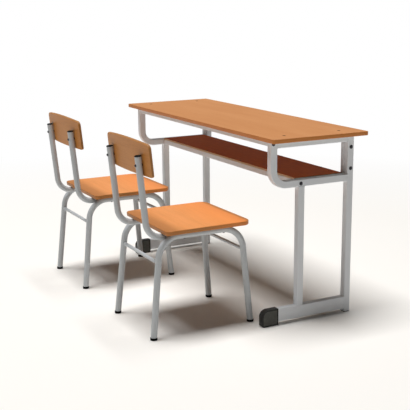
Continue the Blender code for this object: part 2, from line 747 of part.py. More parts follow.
def make_back_panel(chair, name):
    """Moulded plywood back panel with an arched top edge."""
    half = PANEL_WIDTH / 2
    arch = []
    for step in range(PANEL_STEPS + 1):
        along = half * (1 - 2 * step / PANEL_STEPS)
        arch.append(Vector((PANEL_HEIGHT + PANEL_CROWN * (1 - (along / half) ** 2), along)))
    corners = [Vector((0, -half)), Vector((0, half))] + arch
    radii = [PANEL_LOW_CORNER_RADIUS] * 2 + [0] * len(arch)
    radii[2] = PANEL_TOP_CORNER_RADIUS
    radii[-1] = PANEL_TOP_CORNER_RADIUS
    outline = rounded_outline(corners, radii, SEAT_STEPS)
    creases = [half * (1 - 2 * step / PANEL_STEPS) for step in range(1, PANEL_STEPS)]
    plate = bent_plate(outline, creases, panel_place, PANEL_THICKNESS)
    bevel_edges(add_piece(name, plate, back_ply_finish, chair), PANEL_EDGE_ROUND)


def make_chair(name, x):
    """One chair, carried by an empty on the floor midway between its feet."""
    chair = add_place(name + "_chair", Vector((x, CHAIR_Y, 0)))
    prefix = name + "_chair_"
    legs = leg_cutter(chair, prefix + "leg_rods")
    for side_name, side in (("right", 1), ("left", -1)):
        make_side_frame(chair, prefix + "side_frame_" + side_name, side)
        make_back_post(chair, prefix + "back_post_" + side_name, side)
        make_post_cap(chair, prefix + "post_cap_" + side_name, side)
    make_stretcher(chair, prefix + "front_stretcher", 1, FRONT_STRETCHER_HEIGHT, legs)
    make_stretcher(chair, prefix + "rear_stretcher", -1, REAR_STRETCHER_HEIGHT, legs)
    make_foot_tips(chair, prefix, legs)
    make_seat(chair, prefix + "seat")
    make_back_panel(chair, prefix + "back_panel")


def main():
    clear_scene()
    make_desk()
    make_chair("right", CHAIR_X_LIMIT - RIGHT_CHAIR_CLEARANCE)
    make_chair("left", LEFT_CHAIR_CLEARANCE - CHAIR_X_LIMIT)


main()
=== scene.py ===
"""A school desk for two with a book shelf, and the two loose tube chairs that stand in front of it.

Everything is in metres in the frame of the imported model: X runs along the desk, +Y points away
from the chairs and +Z is up. Each tube, board, cap, desk screw and desk bolt stands for a CAD
node, with finer bends, eased edges and its real finish. Weld beads, washers, plugs, nuts and the
small screws are details that no node has.
"""
import math

import bmesh
import bpy
from mathutils import Matrix, Vector


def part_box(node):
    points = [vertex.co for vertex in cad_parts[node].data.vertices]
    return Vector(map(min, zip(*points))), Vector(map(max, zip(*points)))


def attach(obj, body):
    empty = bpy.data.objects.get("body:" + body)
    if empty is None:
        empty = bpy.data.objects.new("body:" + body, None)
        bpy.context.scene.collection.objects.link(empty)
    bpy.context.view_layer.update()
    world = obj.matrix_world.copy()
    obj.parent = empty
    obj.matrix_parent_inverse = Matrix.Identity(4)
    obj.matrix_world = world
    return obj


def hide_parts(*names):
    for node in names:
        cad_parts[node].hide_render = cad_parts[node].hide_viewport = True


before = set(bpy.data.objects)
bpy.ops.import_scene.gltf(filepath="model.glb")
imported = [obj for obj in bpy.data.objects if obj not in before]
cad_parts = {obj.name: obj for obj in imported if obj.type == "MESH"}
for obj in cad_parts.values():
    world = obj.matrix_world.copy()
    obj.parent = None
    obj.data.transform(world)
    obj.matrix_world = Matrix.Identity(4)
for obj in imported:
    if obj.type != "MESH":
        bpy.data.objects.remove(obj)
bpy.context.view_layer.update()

# Fits and roundness of the visible pieces, and slopes of normals that tell a board's faces apart
GAP = 0.0003
TUBE_SIDES = 32
BEND_STEPS = 20
CORNER_STEPS = 4
BOARD_CORNER_STEPS = 10
PANEL_CORNER_STEPS = 8
LATHE_SIDES = 32
EASE_STEPS = 4
SMOOTH_ANGLE = math.radians(35)
QUARTER_TURN = math.pi / 2
LEVEL_NORMAL = 0.9
UPWARD_NORMAL = 0.5
MOSTLY_ALONG = 0.7
ALONG_X = Vector((1, 0, 0))
ALONG_Y = Vector((0, 1, 0))
UP = Vector((0, 0, 1))
SIDES = (("right", 1), ("left", -1))

# Desk board
DESK_HEIGHT = 0.750
TOP_WIDTH = 1.350
TOP_DEPTH = 0.438
TOP_THICKNESS = 0.016
TOP_CORNER_RADIUS = 0.009
TOP_EASE = 0.0018
LAMINATE_THICKNESS = 0.0009

# Welded end frames of square tube
FRAME_OVERHANG = 0.058
FRAME_SETBACK = 0.0265
FRAME_TUBE = 0.0285
FRAME_WALL = 0.0015
FRAME_CORNER = 0.003
LEG_BEND_RADIUS = 0.0565
BOOK_BAY_HEIGHT = 0.2025
LOWER_LEG_SETBACK = 0.1265
FOOT_RAIL_HEIGHT = 0.052
FOOT_RAIL_CLEARANCE = 0.014
FOOT_RAIL_FRONT = 0.0405
POST_PLUG = 0.002
POST_PLUG_SHANK = 0.016

# Toe caps
CAP_LENGTH = 0.073
CAP_HEIGHT = 0.068
CAP_TOP_RADIUS = 0.029
CAP_TOE_RADIUS = 0.008
CAP_HEEL_RADIUS = 0.001
CAP_EASE = 0.0016
CAP_RIM = 0.0042
CAP_PANEL_SINK = 0.0009
CAP_PANEL_MARGIN = 0.00105
CAP_RIM_BEVEL = 0.0007
CAP_STEPS = 12

# Long rails, rear uprights and book shelf
RAIL_DEPTH = 0.020
RAIL_HEIGHT = 0.021
RAIL_WALL = 0.0015
RAIL_CORNER = 0.002
UPRIGHT_WIDTH = 0.019
SHELF_RAIL_RISE = 0.002
SHELF_THICKNESS = 0.0075
SHELF_END_CLEARANCE = 0.001
SHELF_REAR_CLEARANCE = 0.0055
SHELF_EASE = 0.0008
SHELF_CORNER = 0.002

# Desk fasteners
TOP_SCREW_INSET = 0.092
TOP_SCREW_HEAD_RADIUS = 0.006
TOP_SCREW_HEAD = 0.003
TOP_SCREW_SINK = 0.0001
TOP_SCREW_CLEARANCE = 0.001
BOLT_HEAD_RADIUS = 0.005
BOLT_HEAD = 0.0033
BOLT_WASHER_RADIUS = 0.0076
BOLT_WASHER = 0.0008
UPPER_BOLT_DROP = 0.050
LOWER_BOLT_DROP = 0.136
SHELF_SCREW_RADIUS = 0.0038
SHELF_SCREW_HEIGHT = 0.0014
SHELF_SCREW_PLACES = (-0.45, -0.15, 0.15, 0.45)

# Heads of screws and bolts as shares of their radius and height; a cross has its reach and width
COUNTERSUNK_FACE = 0.97
COUNTERSUNK_NECK = 0.6
COUNTERSUNK_CROSS = (0.6, 0.22)
PAN_HEAD = ((1, 0.55), (0.6, 0.9), (0, 1))
PAN_CROSS = (0.45, 0.18)
BUTTON_FACE = 0.58
BUTTON_DOME_START = 0.1
BUTTON_SOCKET = 0.42
SHANK = 0.55
RECESS_FLOOR = 0.8

# Chair tubes, measured to tube centres
CHAIR_TUBE_RADIUS = 0.0125
FOOT_BASE = 0.424
SEAT_OVERHANG = 0.0364
LEG_SPLAY = 0.0149
FRONT_LEG_LEAN = 0.0346
REAR_LEG_LEAN = 0.0405
FRONT_BEND_RADIUS = 0.089
REAR_BEND_RADIUS = 0.086
STRETCHER_RADIUS = 0.007
FRONT_STRETCHER_HEIGHT = 0.300
REAR_STRETCHER_HEIGHT = 0.296
POST_TOP = 0.7055
POST_TOP_REACH = 0.2423
POST_FOOT_REACH = 0.2108
POST_BEND_RADIUS = 0.064
POST_RUN_DROP = 0.003
POST_RUN_FRONT = 0.040
RUN_WELDS = ((-0.085, -0.055), (0.000, 0.030))
CHAIR_TUBE_WALL = 0.0015

# Chair tips: each profile point is a height and a step in from the rim, with a grip groove between
TIP_RADIUS = 0.0138
TIP_HEIGHT = 0.010
TIP_SOLE = 0.005
TIP_MOUTH_RADIUS = 0.01125
TIP_PROFILE = ((0, 0.0014), (0.0004, 0.0006), (0.0012, 0), (0.0030, 0), (0.0034, 0.0005),
               (0.0040, 0.0005), (0.0044, 0), (0.0090, 0), (0.0097, 0.0003), (TIP_HEIGHT, 0.0009))

# Chair caps and plugs: the cap's profile has shares of its height and of its radius that shows
POST_CAP_RADIUS = 0.0137
POST_CAP_SHOWN = 0.985
POST_CAP_HEIGHT = 0.0045
POST_CAP_SHANK = 0.0135
POST_CAP_PROFILE = ((0, 0.35), (0.06, 0.6), (0.18, 0.8), (0.38, 0.94), (0.6, 1), (0.92, 1), (1, 0.97))
RUN_PLUG_FACE = 0.0012
RUN_PLUG_FACE_SHARE = 0.7
RUN_PLUG_SHANK = 0.008

# Chair bolts and nuts: the nut's dome and hexagon are shares of its radius
PANEL_BOLT_HEIGHT = 0.6687
PANEL_BOLT_HEAD_RADIUS = 0.0052
PANEL_BOLT_HEAD = 0.0034
PANEL_BOLT_WASHER_RADIUS = 0.00572
PANEL_SPACER_SUNK = 0.0025
PANEL_NUT_RADIUS = 0.0062
NUT_HEIGHT = 0.55
NUT_DOME = 0.8
NUT_DOME_SUNK = 0.05
PANEL_WASHER_RADIUS = 0.0085
PANEL_WASHER = 0.001
PANEL_WASHER_BEVEL = (0.8, 0.96)
SEAT_SCREW_PLACES = (0.100, -0.070)
SEAT_SCREW_RADIUS = 0.0045
SEAT_SCREW_HEIGHT = 0.0022

# Moulded plywood of the seats and back panels; its edge turns from dark to light within each ply
PLY = 0.00136
PLY_BLEND = (0.35, 0.65)
FACE_PLY = 0.0008
PLY_EASE = 0.0028
PLY_CREASES = 12

# Moulded seat: its front corners are rounder than its node's, and painted shade comes in between two
# places
SEAT_HEIGHT = 0.420
SEAT_THICKNESS = 0.017
SEAT_WIDTH = 0.393
SEAT_FRONT_CORNER = 0.034
SEAT_REAR_CORNER = 0.018
SEAT_FRONT = 0.205
SEAT_FLAT_REAR = 0.103
SEAT_ROLL_RADIUS = 0.756
SEAT_ROLL_ANGLE = math.radians(4.17)
SEAT_REAR_PAINTED_SHADE = (-0.075, -0.120)
SEAT_WARM_LEAF = (0.0, 0.14)
SEAT_LIP_PAINTED_SHADE = (0.182, 0.194)

# Moulded back panel, measured along the lean of the posts
PANEL_BOTTOM = 0.625
PANEL_HEIGHT = 0.121
PANEL_CROWN = 0.00997
PANEL_WIDTH = 0.394
PANEL_THICKNESS = 0.012
PANEL_CURVE_RADIUS = 1.900
PANEL_TOP_CORNER = 0.018
PANEL_LOW_CORNER = 0.008
PANEL_STEPS = 24

# Weld beads, ground down and coated with the tube
BEAD_RADIUS = 0.0013
BEAD_SIDES = 8
BEAD_PITCH = 0.0024
BEAD_STEP = 0.0008
BEAD_RIPPLE_SHARE = 0.16

# Where the pieces meet
board_low, board_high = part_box("desk_top")
DESK_Y = (board_low.y + board_high.y) / 2
FRAME_TOP = DESK_HEIGHT - TOP_THICKNESS - GAP
FRAME_REAR = DESK_Y + TOP_DEPTH / 2 - FRAME_SETBACK
FRAME_FRONT = DESK_Y * 2 - FRAME_REAR
FRAME_X = TOP_WIDTH / 2 - FRAME_OVERHANG - FRAME_TUBE / 2
INNER_X = FRAME_X - FRAME_TUBE / 2
OUTER_X = FRAME_X + FRAME_TUBE / 2
LEG_REAR = FRAME_FRONT + FRAME_TUBE
POST_FRONT = FRAME_REAR - FRAME_TUBE
POST_Y = FRAME_REAR - FRAME_TUBE / 2
LEG_RUN_BOTTOM = DESK_HEIGHT - BOOK_BAY_HEIGHT
FOOT_RAIL_TOP = FOOT_RAIL_CLEARANCE + FOOT_RAIL_HEIGHT
FOOT_RAIL_START = FRAME_FRONT + FOOT_RAIL_FRONT
SHELF_FRONT = FRAME_FRONT + LOWER_LEG_SETBACK
LOWER_LEG_Y = SHELF_FRONT + FRAME_TUBE / 2
SHELF_RAIL_BOTTOM = LEG_RUN_BOTTOM + SHELF_RAIL_RISE
SHELF_RAIL_Z = SHELF_RAIL_BOTTOM + RAIL_HEIGHT / 2
SHELF_TOP = SHELF_RAIL_BOTTOM + RAIL_HEIGHT + GAP + SHELF_THICKNESS
TOP_RAIL_Z = FRAME_TOP - RAIL_HEIGHT / 2
TOP_RAIL_Y = FRAME_FRONT + RAIL_DEPTH / 2
SHELF_RAIL_Y = SHELF_FRONT + RAIL_DEPTH / 2
REAR_TOP_RAIL_Y = FRAME_REAR - RAIL_DEPTH / 2
REAR_SHELF_RAIL_Y = POST_FRONT - GAP - RAIL_DEPTH / 2
UPRIGHT_X = INNER_X - GAP - UPRIGHT_WIDTH / 2
RAIL_SPREAD = SEAT_WIDTH - SEAT_OVERHANG * 2
FOOT_SPREAD = RAIL_SPREAD + LEG_SPLAY * 2
SEAT_RAIL_Z = SEAT_HEIGHT - SEAT_THICKNESS - GAP - CHAIR_TUBE_RADIUS
POST_RUN_Z = SEAT_RAIL_Z - POST_RUN_DROP
POST_X = RAIL_SPREAD / 2 - CHAIR_TUBE_RADIUS * 2 - GAP
POST_HEAD = Vector((POST_X, -POST_TOP_REACH, POST_TOP))
POST_FOOT = Vector((POST_X, -POST_FOOT_REACH, POST_RUN_Z))
POST_DIRECTION = (POST_HEAD - POST_FOOT).normalized()
PANEL_FORWARD = ALONG_X.cross(POST_DIRECTION) * -1
PANEL_CENTRE_REACH = math.sqrt((PANEL_CURVE_RADIUS + POST_CAP_RADIUS + GAP) ** 2 - POST_X ** 2)


# Finishes

# Numbers of the sockets of a Mix node that mixes colours
MIX_SHARE = 0
MIX_LOW = 6
MIX_HIGH = 7
MIX_COLOUR = 2
MILLIMETRES_PER_METRE = 1000


def hex_colour(text):
    """Linear colour of an sRGB hex value."""
    parts = [int(text[start:start + 2], 16) / 255 for start in (1, 3, 5)]
    linear = [part / 12.92 if part <= 0.04045 else ((part + 0.055) / 1.055) ** 2.4
              for part in parts]
    return (*linear, 1)


def add_node(tree, kind, settings=None, links=None):
    """A shader node with its settings or input values, and links into its inputs."""
    node = tree.nodes.new("ShaderNode" + kind)
    for name, value in (settings or {}).items():
        if isinstance(name, str) and hasattr(node, name):
            setattr(node, name, value)
        else:
            node.inputs[name].default_value = value
    for name, socket in (links or {}).items():
        tree.links.new(socket, node.inputs[name])
    return node


def new_material(name):
    """A material without nodes, and its tree."""
    material = bpy.data.materials.new(name)
    material.use_nodes = True
    material.node_tree.nodes.clear()
    return material, material.node_tree


def noise_pattern(tree, place, size, detail, contrast=(0, 1), roughness=0.55):
    """Noise from 0 to 1, whose features have the given size in millimetres along each axis.

    The part of the noise between the two levels of contrast is stretched over the whole range.
    """
    low, high = contrast
    where = add_node(tree, "Mapping", {"Scale": [MILLIMETRES_PER_METRE / length for length in size]},
                     {"Vector": place})
    noise = add_node(tree, "TexNoise", {"Scale": 1, "Detail": detail, "Roughness": roughness},
                     {"Vector": where.outputs[0]})
    return add_node(tree, "MapRange", {"From Min": low, "From Max": high},
                    {"Value": noise.outputs[0]}).outputs[0]


def add_surface(tree, settings, links, height=None, strength=0, depth=0):
    """Shader and output of a material, with a relief where it has a height; depth is in metres."""
    if height:
        relief = add_node(tree, "Bump", {"Strength": strength, "Distance": depth}, {"Height": height})
        links = {**links, "Normal": relief.outputs[0]}
    shader = add_node(tree, "BsdfPrincipled", settings, links)
    add_node(tree, "OutputMaterial", links={"Surface": shader.outputs[0]})


def mottled(name, colours, pattern, settings, relief=None, strength=0, depth=0):
    """Material with two hex colours mixed by one pattern, and a relief from another.

    A pattern holds its size in millimetres, its detail and what else noise_pattern takes. The
    strength and the depth, in metres, are those of the relief.
    """
    low, high = [hex_colour(text) for text in colours]
    material, tree = new_material(name)
    place = add_node(tree, "TexCoord").outputs["Object"]
    colour = add_node(tree, "Mix", {"data_type": "RGBA", MIX_LOW: low, MIX_HIGH: high},
                      {MIX_SHARE: noise_pattern(tree, place, *pattern)})
    height = noise_pattern(tree, place, *relief) if relief else None
    add_surface(tree, settings, {"Base Color": colour.outputs[MIX_COLOUR]}, height, strength, depth)
    return material


def powder_coat(name, thin, full):
    """Polyester powder coat baked on mild steel tube: a satin sheen with a faint orange peel.

    The coat's thickness drifts over 110 mm. Its peel is about 1 mm across, too fine for the
    picture, so it is drawn 3 mm across.
    """
    material, tree = new_material(name)
    place = add_node(tree, "TexCoord").outputs["Object"]
    film = noise_pattern(tree, place, (110, 110, 110), 2, (0.3, 0.7))
    peel = noise_pattern(tree, place, (3, 3, 3), 1)
    colour = add_node(tree, "Mix", {"data_type": "RGBA", MIX_LOW: hex_colour(thin),
                                    MIX_HIGH: hex_colour(full)}, {MIX_SHARE: film})
    gloss = add_node(tree, "MapRange", {"To Min": 0.36, "To Max": 0.48}, {"Value": film})
    add_surface(tree, {"IOR": 1.5, "Specular IOR Level": 0.4},
                {"Base Color": colour.outputs[MIX_COLOUR], "Roughness": gloss.outputs[0]},
                peel, 0.25, 0.0002)
    return material


def moulded_plastic(name, ground, worn, level, roughness, grit):
    """Injection-moulded plastic: even colour, a spark-eroded grain and a dull sheen.

    The grain, 0.1 mm on the real mould, is drawn as coarse as grit says in millimetres, and the
    scuffs are 17 mm across. The level is the shader's specular level.
    """
    return mottled(name, (ground, worn), ((17, 17, 17), 3, (0.45, 0.75)),
                   {"IOR": 1.49, "Specular IOR Level": level, "Roughness": roughness},
                   ((grit, grit, grit), 1), 0.3, 0.0002)


def wood_grain(tree, place, colours, sizes, drift, pore_share):
    """Colour of a wood face whose grain runs along X, and the pattern of its fibres.

    Of the hex colours, two mix in the fibres, the third comes and goes with the drift and the
    last is in the pores. The sizes of fibres and pores are in millimetres; drift is a pattern.
    """
    dark, light, warm, pore = [hex_colour(text) for text in colours]
    fibre_size, pore_size = sizes
    fibres = noise_pattern(tree, place, fibre_size, 4, (0.3, 0.7), 0.6)
    pores = noise_pattern(tree, place, pore_size, 2, (0.60, 0.72), 0.5)
    faint = add_node(tree, "Math", {"operation": "MULTIPLY", 1: pore_share}, {0: pores})
    ground = add_node(tree, "Mix", {"data_type": "RGBA", MIX_LOW: dark, MIX_HIGH: light},
                      {MIX_SHARE: fibres})
    warmed = add_node(tree, "Mix", {"data_type": "RGBA", MIX_HIGH: warm},
                      {MIX_SHARE: noise_pattern(tree, place, *drift),
                       MIX_LOW: ground.outputs[MIX_COLOUR]})
    face = add_node(tree, "Mix", {"data_type": "RGBA", MIX_HIGH: pore},
                    {MIX_SHARE: faint.outputs[0], MIX_LOW: warmed.outputs[MIX_COLOUR]})
    return face.outputs[MIX_COLOUR], fibres


def beech_print_laminate():
    """Melamine laminate with a printed beech grain, pressed satin on chipboard.

    The grain runs along the desk. Its fibres are 3 mm wide and 90 mm long, on a ground that drifts
    over 455 mm along the desk and 71 mm across it. Its flecks, 0.5 mm wide on the real sheet, are
    drawn 1.6 mm wide and 18 mm long so that they show.
    """
    material, tree = new_material("beech_print_laminate")
    place = add_node(tree, "TexCoord").outputs["Object"]
    colour, fibres = wood_grain(tree, place, ("#C7834A", "#D08D53", "#D29057", "#B4703E"),
                                ((90, 3, 3), (18, 1.6, 1.6)), ((455, 71, 71), 3, (0.35, 0.65)), 0.35)
    add_surface(tree, {"IOR": 1.5, "Specular IOR Level": 0.25, "Roughness": 0.45},
                {"Base Color": colour}, fibres, 0.08, 0.0001)
    return material


def lacquered_ply(name, veneer, edges, roughness, thickness, tints_and_painted_shade=None):
    """Moulded beech plywood under clear lacquer, from the hex colours of its veneer and its edges.

    The face grain runs across the seat or panel. Its fibres are 4 mm wide and 125 mm long, on a
    ground that drifts over 330 mm across and 45 mm along it. Its pores, 0.3 mm wide on the real
    veneer, are drawn 1.5 mm wide and 20 mm long. Where the eased edge cuts through the face, the
    plies show as bands. The last argument is a function that adds further colours, painted shade
    among them, over these.
    """
    light, dark, pore = veneer
    edge_light, edge_dark = edges
    blend_start, blend_end = PLY_BLEND
    material, tree = new_material(name)
    place = add_node(tree, "Attribute", {"attribute_name": "board_place"}).outputs["Vector"]
    face, fibres = wood_grain(tree, place, (dark, light, light, pore), ((125, 4, 4), (20, 1.5, 1.5)),
                              ((330, 45, 45), 2, (0.35, 0.7)), 0.5)
    depth = add_node(tree, "SeparateXYZ", links={0: place}).outputs[2]
    layers = add_node(tree, "Math", {"operation": "PINGPONG", 1: PLY}, {0: depth})
    lines = add_node(tree, "MapRange", {"From Min": PLY * blend_start, "From Max": PLY * blend_end},
                     {"Value": layers.outputs[0]})
    edge = add_node(tree, "Mix", {"data_type": "RGBA", MIX_LOW: hex_colour(edge_dark),
                                  MIX_HIGH: hex_colour(edge_light)}, {MIX_SHARE: lines.outputs[0]})
    upper = add_node(tree, "Math", {"operation": "LESS_THAN", 1: FACE_PLY}, {0: depth})
    lower = add_node(tree, "Math", {"operation": "GREATER_THAN", 1: thickness - FACE_PLY},
                     {0: depth})
    skin = add_node(tree, "Math", {"operation": "ADD", "use_clamp": True},
                    {0: upper.outputs[0], 1: lower.outputs[0]})
    cut = add_node(tree, "Mix", {"data_type": "RGBA"},
                   {MIX_SHARE: skin.outputs[0], MIX_LOW: edge.outputs[MIX_COLOUR], MIX_HIGH: face})
    colour = cut.outputs[MIX_COLOUR]
    if tints_and_painted_shade:
        colour = tints_and_painted_shade(tree, place, colour)
    add_surface(tree, {"IOR": 1.5, "Specular IOR Level": 0.3, "Roughness": roughness},
                {"Base Color": colour}, fibres, 0.1, 0.0002)
    return material


def seat_tints_and_painted_shade(tree, place, veneer):
    """The seat's colours: a warmer leaf, a painted brown shade front and rear, and a plain underside.

    The leaf of veneer is warmer toward the front. A painted shade comes in over 45 mm where the seat
    starts to roll down, and over 12 mm at the front lip. The underside has a brown backing veneer.
    """
    along, depth = add_node(tree, "SeparateXYZ", links={0: place}).outputs[1:]
    leaf, rear, front = [
        add_node(tree, "MapRange", {"From Min": start, "From Max": stop}, {"Value": along}).outputs[0]
        for start, stop in (SEAT_WARM_LEAF, SEAT_REAR_PAINTED_SHADE, SEAT_LIP_PAINTED_SHADE)]
    half = add_node(tree, "Math", {"operation": "MULTIPLY", 1: 0.5}, {0: leaf})
    either = add_node(tree, "Math", {"operation": "MAXIMUM"}, {0: rear, 1: front})
    # Painted shade: a darker brown over the seat's rear roll and front lip, standing in for their shade
    painted_shade = add_node(tree, "Math", {"operation": "MULTIPLY", 1: 0.74}, {0: either.outputs[0]})
    under = add_node(tree, "Math", {"operation": "GREATER_THAN", 1: SEAT_THICKNESS - GAP},
                     {0: depth})
    colour = veneer
    for text, share in (("#FF9444", half), ("#BC783C", painted_shade), ("#956640", under)):
        mixed = add_node(tree, "Mix", {"data_type": "RGBA", MIX_HIGH: hex_colour(text)},
                         {MIX_SHARE: share.outputs[0], MIX_LOW: colour})
        colour = mixed.outputs[MIX_COLOUR]
    return colour


desk_coat = powder_coat("white_grey_powder_coat", "#E5E8EC", "#EBEEF1")
chair_coat = powder_coat("light_grey_powder_coat", "#C2C6C9", "#CACED0")
board_laminate = beech_print_laminate()
# ABS edge band glued round the board: brown, with a satin sheen and a faint printed streak that runs
# along the edge, 2 mm wide and 62.5 mm long
edge_streaks = ((62.5, 62.5, 2), 3, (0.3, 0.7))
edge_band = mottled("brown_abs_edge_band", ("#CC7E3A", "#D88841"), edge_streaks,
                    {"IOR": 1.53, "Specular IOR Level": 0.35, "Roughness": 0.42},
                    edge_streaks, 0.1, 0.0001)
# Grey melamine that balances the laminate on the board's underside; its fine speckle, 0.3 mm on the
# real sheet, is drawn 2 mm wide
backing = mottled("grey_backing_melamine", ("#A29D93", "#ACA79D"), ((2, 2, 2), 2, (0.4, 0.7)),
                  {"IOR": 1.5, "Specular IOR Level": 0.3, "Roughness": 0.5})
seat_ply = lacquered_ply("orange_lacquered_beech_ply", ("#F3A15E", "#E08E4A", "#C6763A"),
                         ("#D99250", "#A46A38"), 0.42, SEAT_THICKNESS, seat_tints_and_painted_shade)
back_ply = lacquered_ply("brown_lacquered_beech_ply", ("#CE8A46", "#BC7734", "#905228"),
                         ("#C98F52", "#8E5A30"), 0.45, PANEL_THICKNESS)
# Tempered hardboard, stained dark red-brown, with a matt sheen: its mottling is 12.5 mm wide and
# 50 mm long, and its pressed fibres, 0.2 mm on the real board, are drawn 3 mm across
hardboard = mottled("stained_hardboard", ("#CE5E18", "#DC6A1E"),
                    ((50, 12.5, 12.5), 4, (0.3, 0.7), 0.6),
                    {"IOR": 1.48, "Specular IOR Level": 0.08, "Roughness": 0.55},
                    ((3, 3, 3), 3), 0.15, 0.0002)
# Back and sawn edges of the hardboard, left raw: pale fawn, with fibres pressed in thin layers along
# the edge, 0.3 mm on the real board and drawn 1.5 mm thick
hardboard_back = mottled("raw_hardboard", ("#CDAA88", "#DABA99"), ((25, 25, 1.5), 2, (0.35, 0.7)),
                         {"IOR": 1.48, "Specular IOR Level": 0.1, "Roughness": 0.8})
# The toe cap's border is polished in the mould and its side panel is left matt, so it looks lighter
cap_plastic = moulded_plastic("black_polypropylene", "#1B1B19", "#2A2A27", 0.35, 0.42, 2)
cap_panel_plastic = moulded_plastic("matt_grey_polypropylene", "#50504B", "#5C5C56", 0.35, 0.6, 2.5)
tip_plastic = moulded_plastic("black_polyethylene", "#080808", "#111110", 0.1, 0.65, 1.7)
# Carbon steel screws with a black oxide: dark and slightly blue, with brighter turned marks, 0.1 mm
# on the real screw and drawn 1.4 mm across
screw_steel = mottled("black_oxide_steel", ("#3E3E42", "#58585D"), ((1.4, 1.4, 1.4), 2, (0.35, 0.7)),
                      {"Metallic": 1, "Roughness": 0.38})
# Wood screws with a matt black phosphate coat that isn't metallic; its mottling, 0.1 mm on the real
# screw, is drawn 1.1 mm across
wood_screw_steel = mottled("black_phosphate_steel", ("#0C0C0D", "#18181A"), ((1.1, 1.1, 1.1), 2),
                           {"IOR": 1.5, "Specular IOR Level": 0.1, "Roughness": 0.75})


# Mesh shapes


def bend(before, corner, after, radius, steps):
    """Points of an arc of the given radius that rounds one corner of a path."""
    arriving = (corner - before).normalized()
    leaving = (after - corner).normalized()
    turn = arriving.angle(leaving)
    start = corner - arriving * (radius * math.tan(turn / 2))
    inward = (leaving - arriving * arriving.dot(leaving)).normalized()
    points = []
    for step in range(steps + 1):
        angle = turn * step / steps
        ahead = arriving * (radius * math.sin(angle))
        points.append(start + ahead + inward * (radius * (1 - math.cos(angle))))
    return points


def rounded_path(corners, radii):
    """Open path with straight runs, and an arc at each inner corner."""
    path = [corners[0]]
    for index, radius in enumerate(radii):
        path += bend(corners[index], corners[index + 1], corners[index + 2], radius, BEND_STEPS)
    path.append(corners[-1])
    return path


def rounded_outline(corners, radii, steps):
    """Closed outline of flat points, with an arc at each corner whose radius isn't zero."""
    outline = []
    for index, (corner, radius) in enumerate(zip(corners, radii)):
        if radius:
            after = corners[(index + 1) % len(corners)]
            outline += bend(corners[index - 1], corner, after, radius, steps)
        else:
            outline.append(corner)
    return outline


def rounded_rectangle(width, height, radius, steps=CORNER_STEPS):
    """Closed outline about its centre, with an arc at each corner and a point just beyond its ends.

    The extra points keep the flats between the corners flat in smooth shading.
    """
    corners = [Vector((side * width / 2, rise * height / 2))
               for side, rise in ((1, 1), (-1, 1), (-1, -1), (1, -1))]
    outline = []
    for index, corner in enumerate(corners):
        arc = bend(corners[index - 1], corner, corners[(index + 1) % 4], radius, steps)
        before = (corner - corners[index - 1]).normalized() * GAP
        after = (corners[(index + 1) % 4] - corner).normalized() * GAP
        outline += [arc[0] - before] + arc + [arc[-1] + after]
    return outline


def circle(radius, sides):
    """Closed round outline."""
    turns = [2 * math.pi * (index + 0.5) / sides for index in range(sides)]
    return [Vector((radius * math.cos(turn), radius * math.sin(turn))) for turn in turns]


def inset_outline(outline, inset):
    """A closed counter-clockwise outline moved inward by the same width all round."""
    moved = []
    for index, point in enumerate(outline):
        arriving = (point - outline[index - 1]).normalized()
        leaving = (outline[(index + 1) % len(outline)] - point).normalized()
        inward = Vector((-arriving.y - leaving.y, arriving.x + leaving.x))
        inward.normalize()
        across = Vector((-arriving.y, arriving.x))
        moved.append(point + inward * (inset / inward.dot(across)))
    return moved


def section_rings(path, side, outline):
    """The outline carried along a path that bends in the plane square to side."""
    runs = [(after - before).normalized() for before, after in zip(path, path[1:])]
    rings = []
    for point, arriving, leaving in zip(path, runs[:1] + runs, runs + runs[-1:]):
        heading = (arriving + leaving).normalized()
        across = side.cross(heading) / arriving.dot(heading)
        rings.append([point + across * spot.x + side * spot.y for spot in outline])
    return rings


def add_skin(bm, rings, closed=False):
    """Faces between neighbouring rings; gives back the first and the last ring of vertices."""
    loops = [[bm.verts.new(point) for point in ring] for ring in rings]
    pairs = list(zip(loops, loops[1:]))
    if closed:
        pairs.append((loops[-1], loops[0]))
    for low, high in pairs:
        for corners in zip(low, low[1:] + low[:1], high[1:] + high[:1], high):
            bm.faces.new(corners)
    return loops[0], loops[-1]


def solid(rings, closed=False, bm=None):
    """Mesh of a solid through rings, which is shut at both ends unless it closes into a loop.

    It is added to another mesh where one is given.
    """
    if bm is None:
        bm = bmesh.new()
    ends = add_skin(bm, rings, closed)
    if not closed:
        for loop in ends:
            bm.faces.new(loop)
    return bm


def tube(path, side, outer, inner):
    """Mesh of an open-ended tube between an outer and an inner outline of as many points."""
    bm = bmesh.new()
    outer_ends = add_skin(bm, section_rings(path, side, outer))
    inner_ends = add_skin(bm, section_rings(path, side, inner))
    for outside, inside in zip(outer_ends, inner_ends):
        for corners in zip(outside, outside[1:] + outside[:1], inside[1:] + inside[:1], inside):
            bm.faces.new(corners)
    return bm


def lathe_frame(heading):
    """Two directions square to a heading and to each other."""
    helper = ALONG_X if abs(heading.x) < MOSTLY_ALONG else UP
    side = heading.cross(helper).normalized()
    return side.cross(heading), side


def square_ring(centre, heading, outline):
    """A flat outline set about a centre, square to a heading."""
    across, side = lathe_frame(heading)
    return [centre + across * spot.x + side * spot.y for spot in outline]


def turned_rings(start, heading, profile, sides=LATHE_SIDES):
    """Rings of a shape turned about heading, from (distance, radius) pairs."""
    return [square_ring(start + heading * distance, heading, circle(radius, sides))
            for distance, radius in profile]


def turned(start, heading, profile):
    """Mesh of a solid turned about heading, from (distance, radius) pairs."""
    return solid(turned_rings(start, heading, profile))


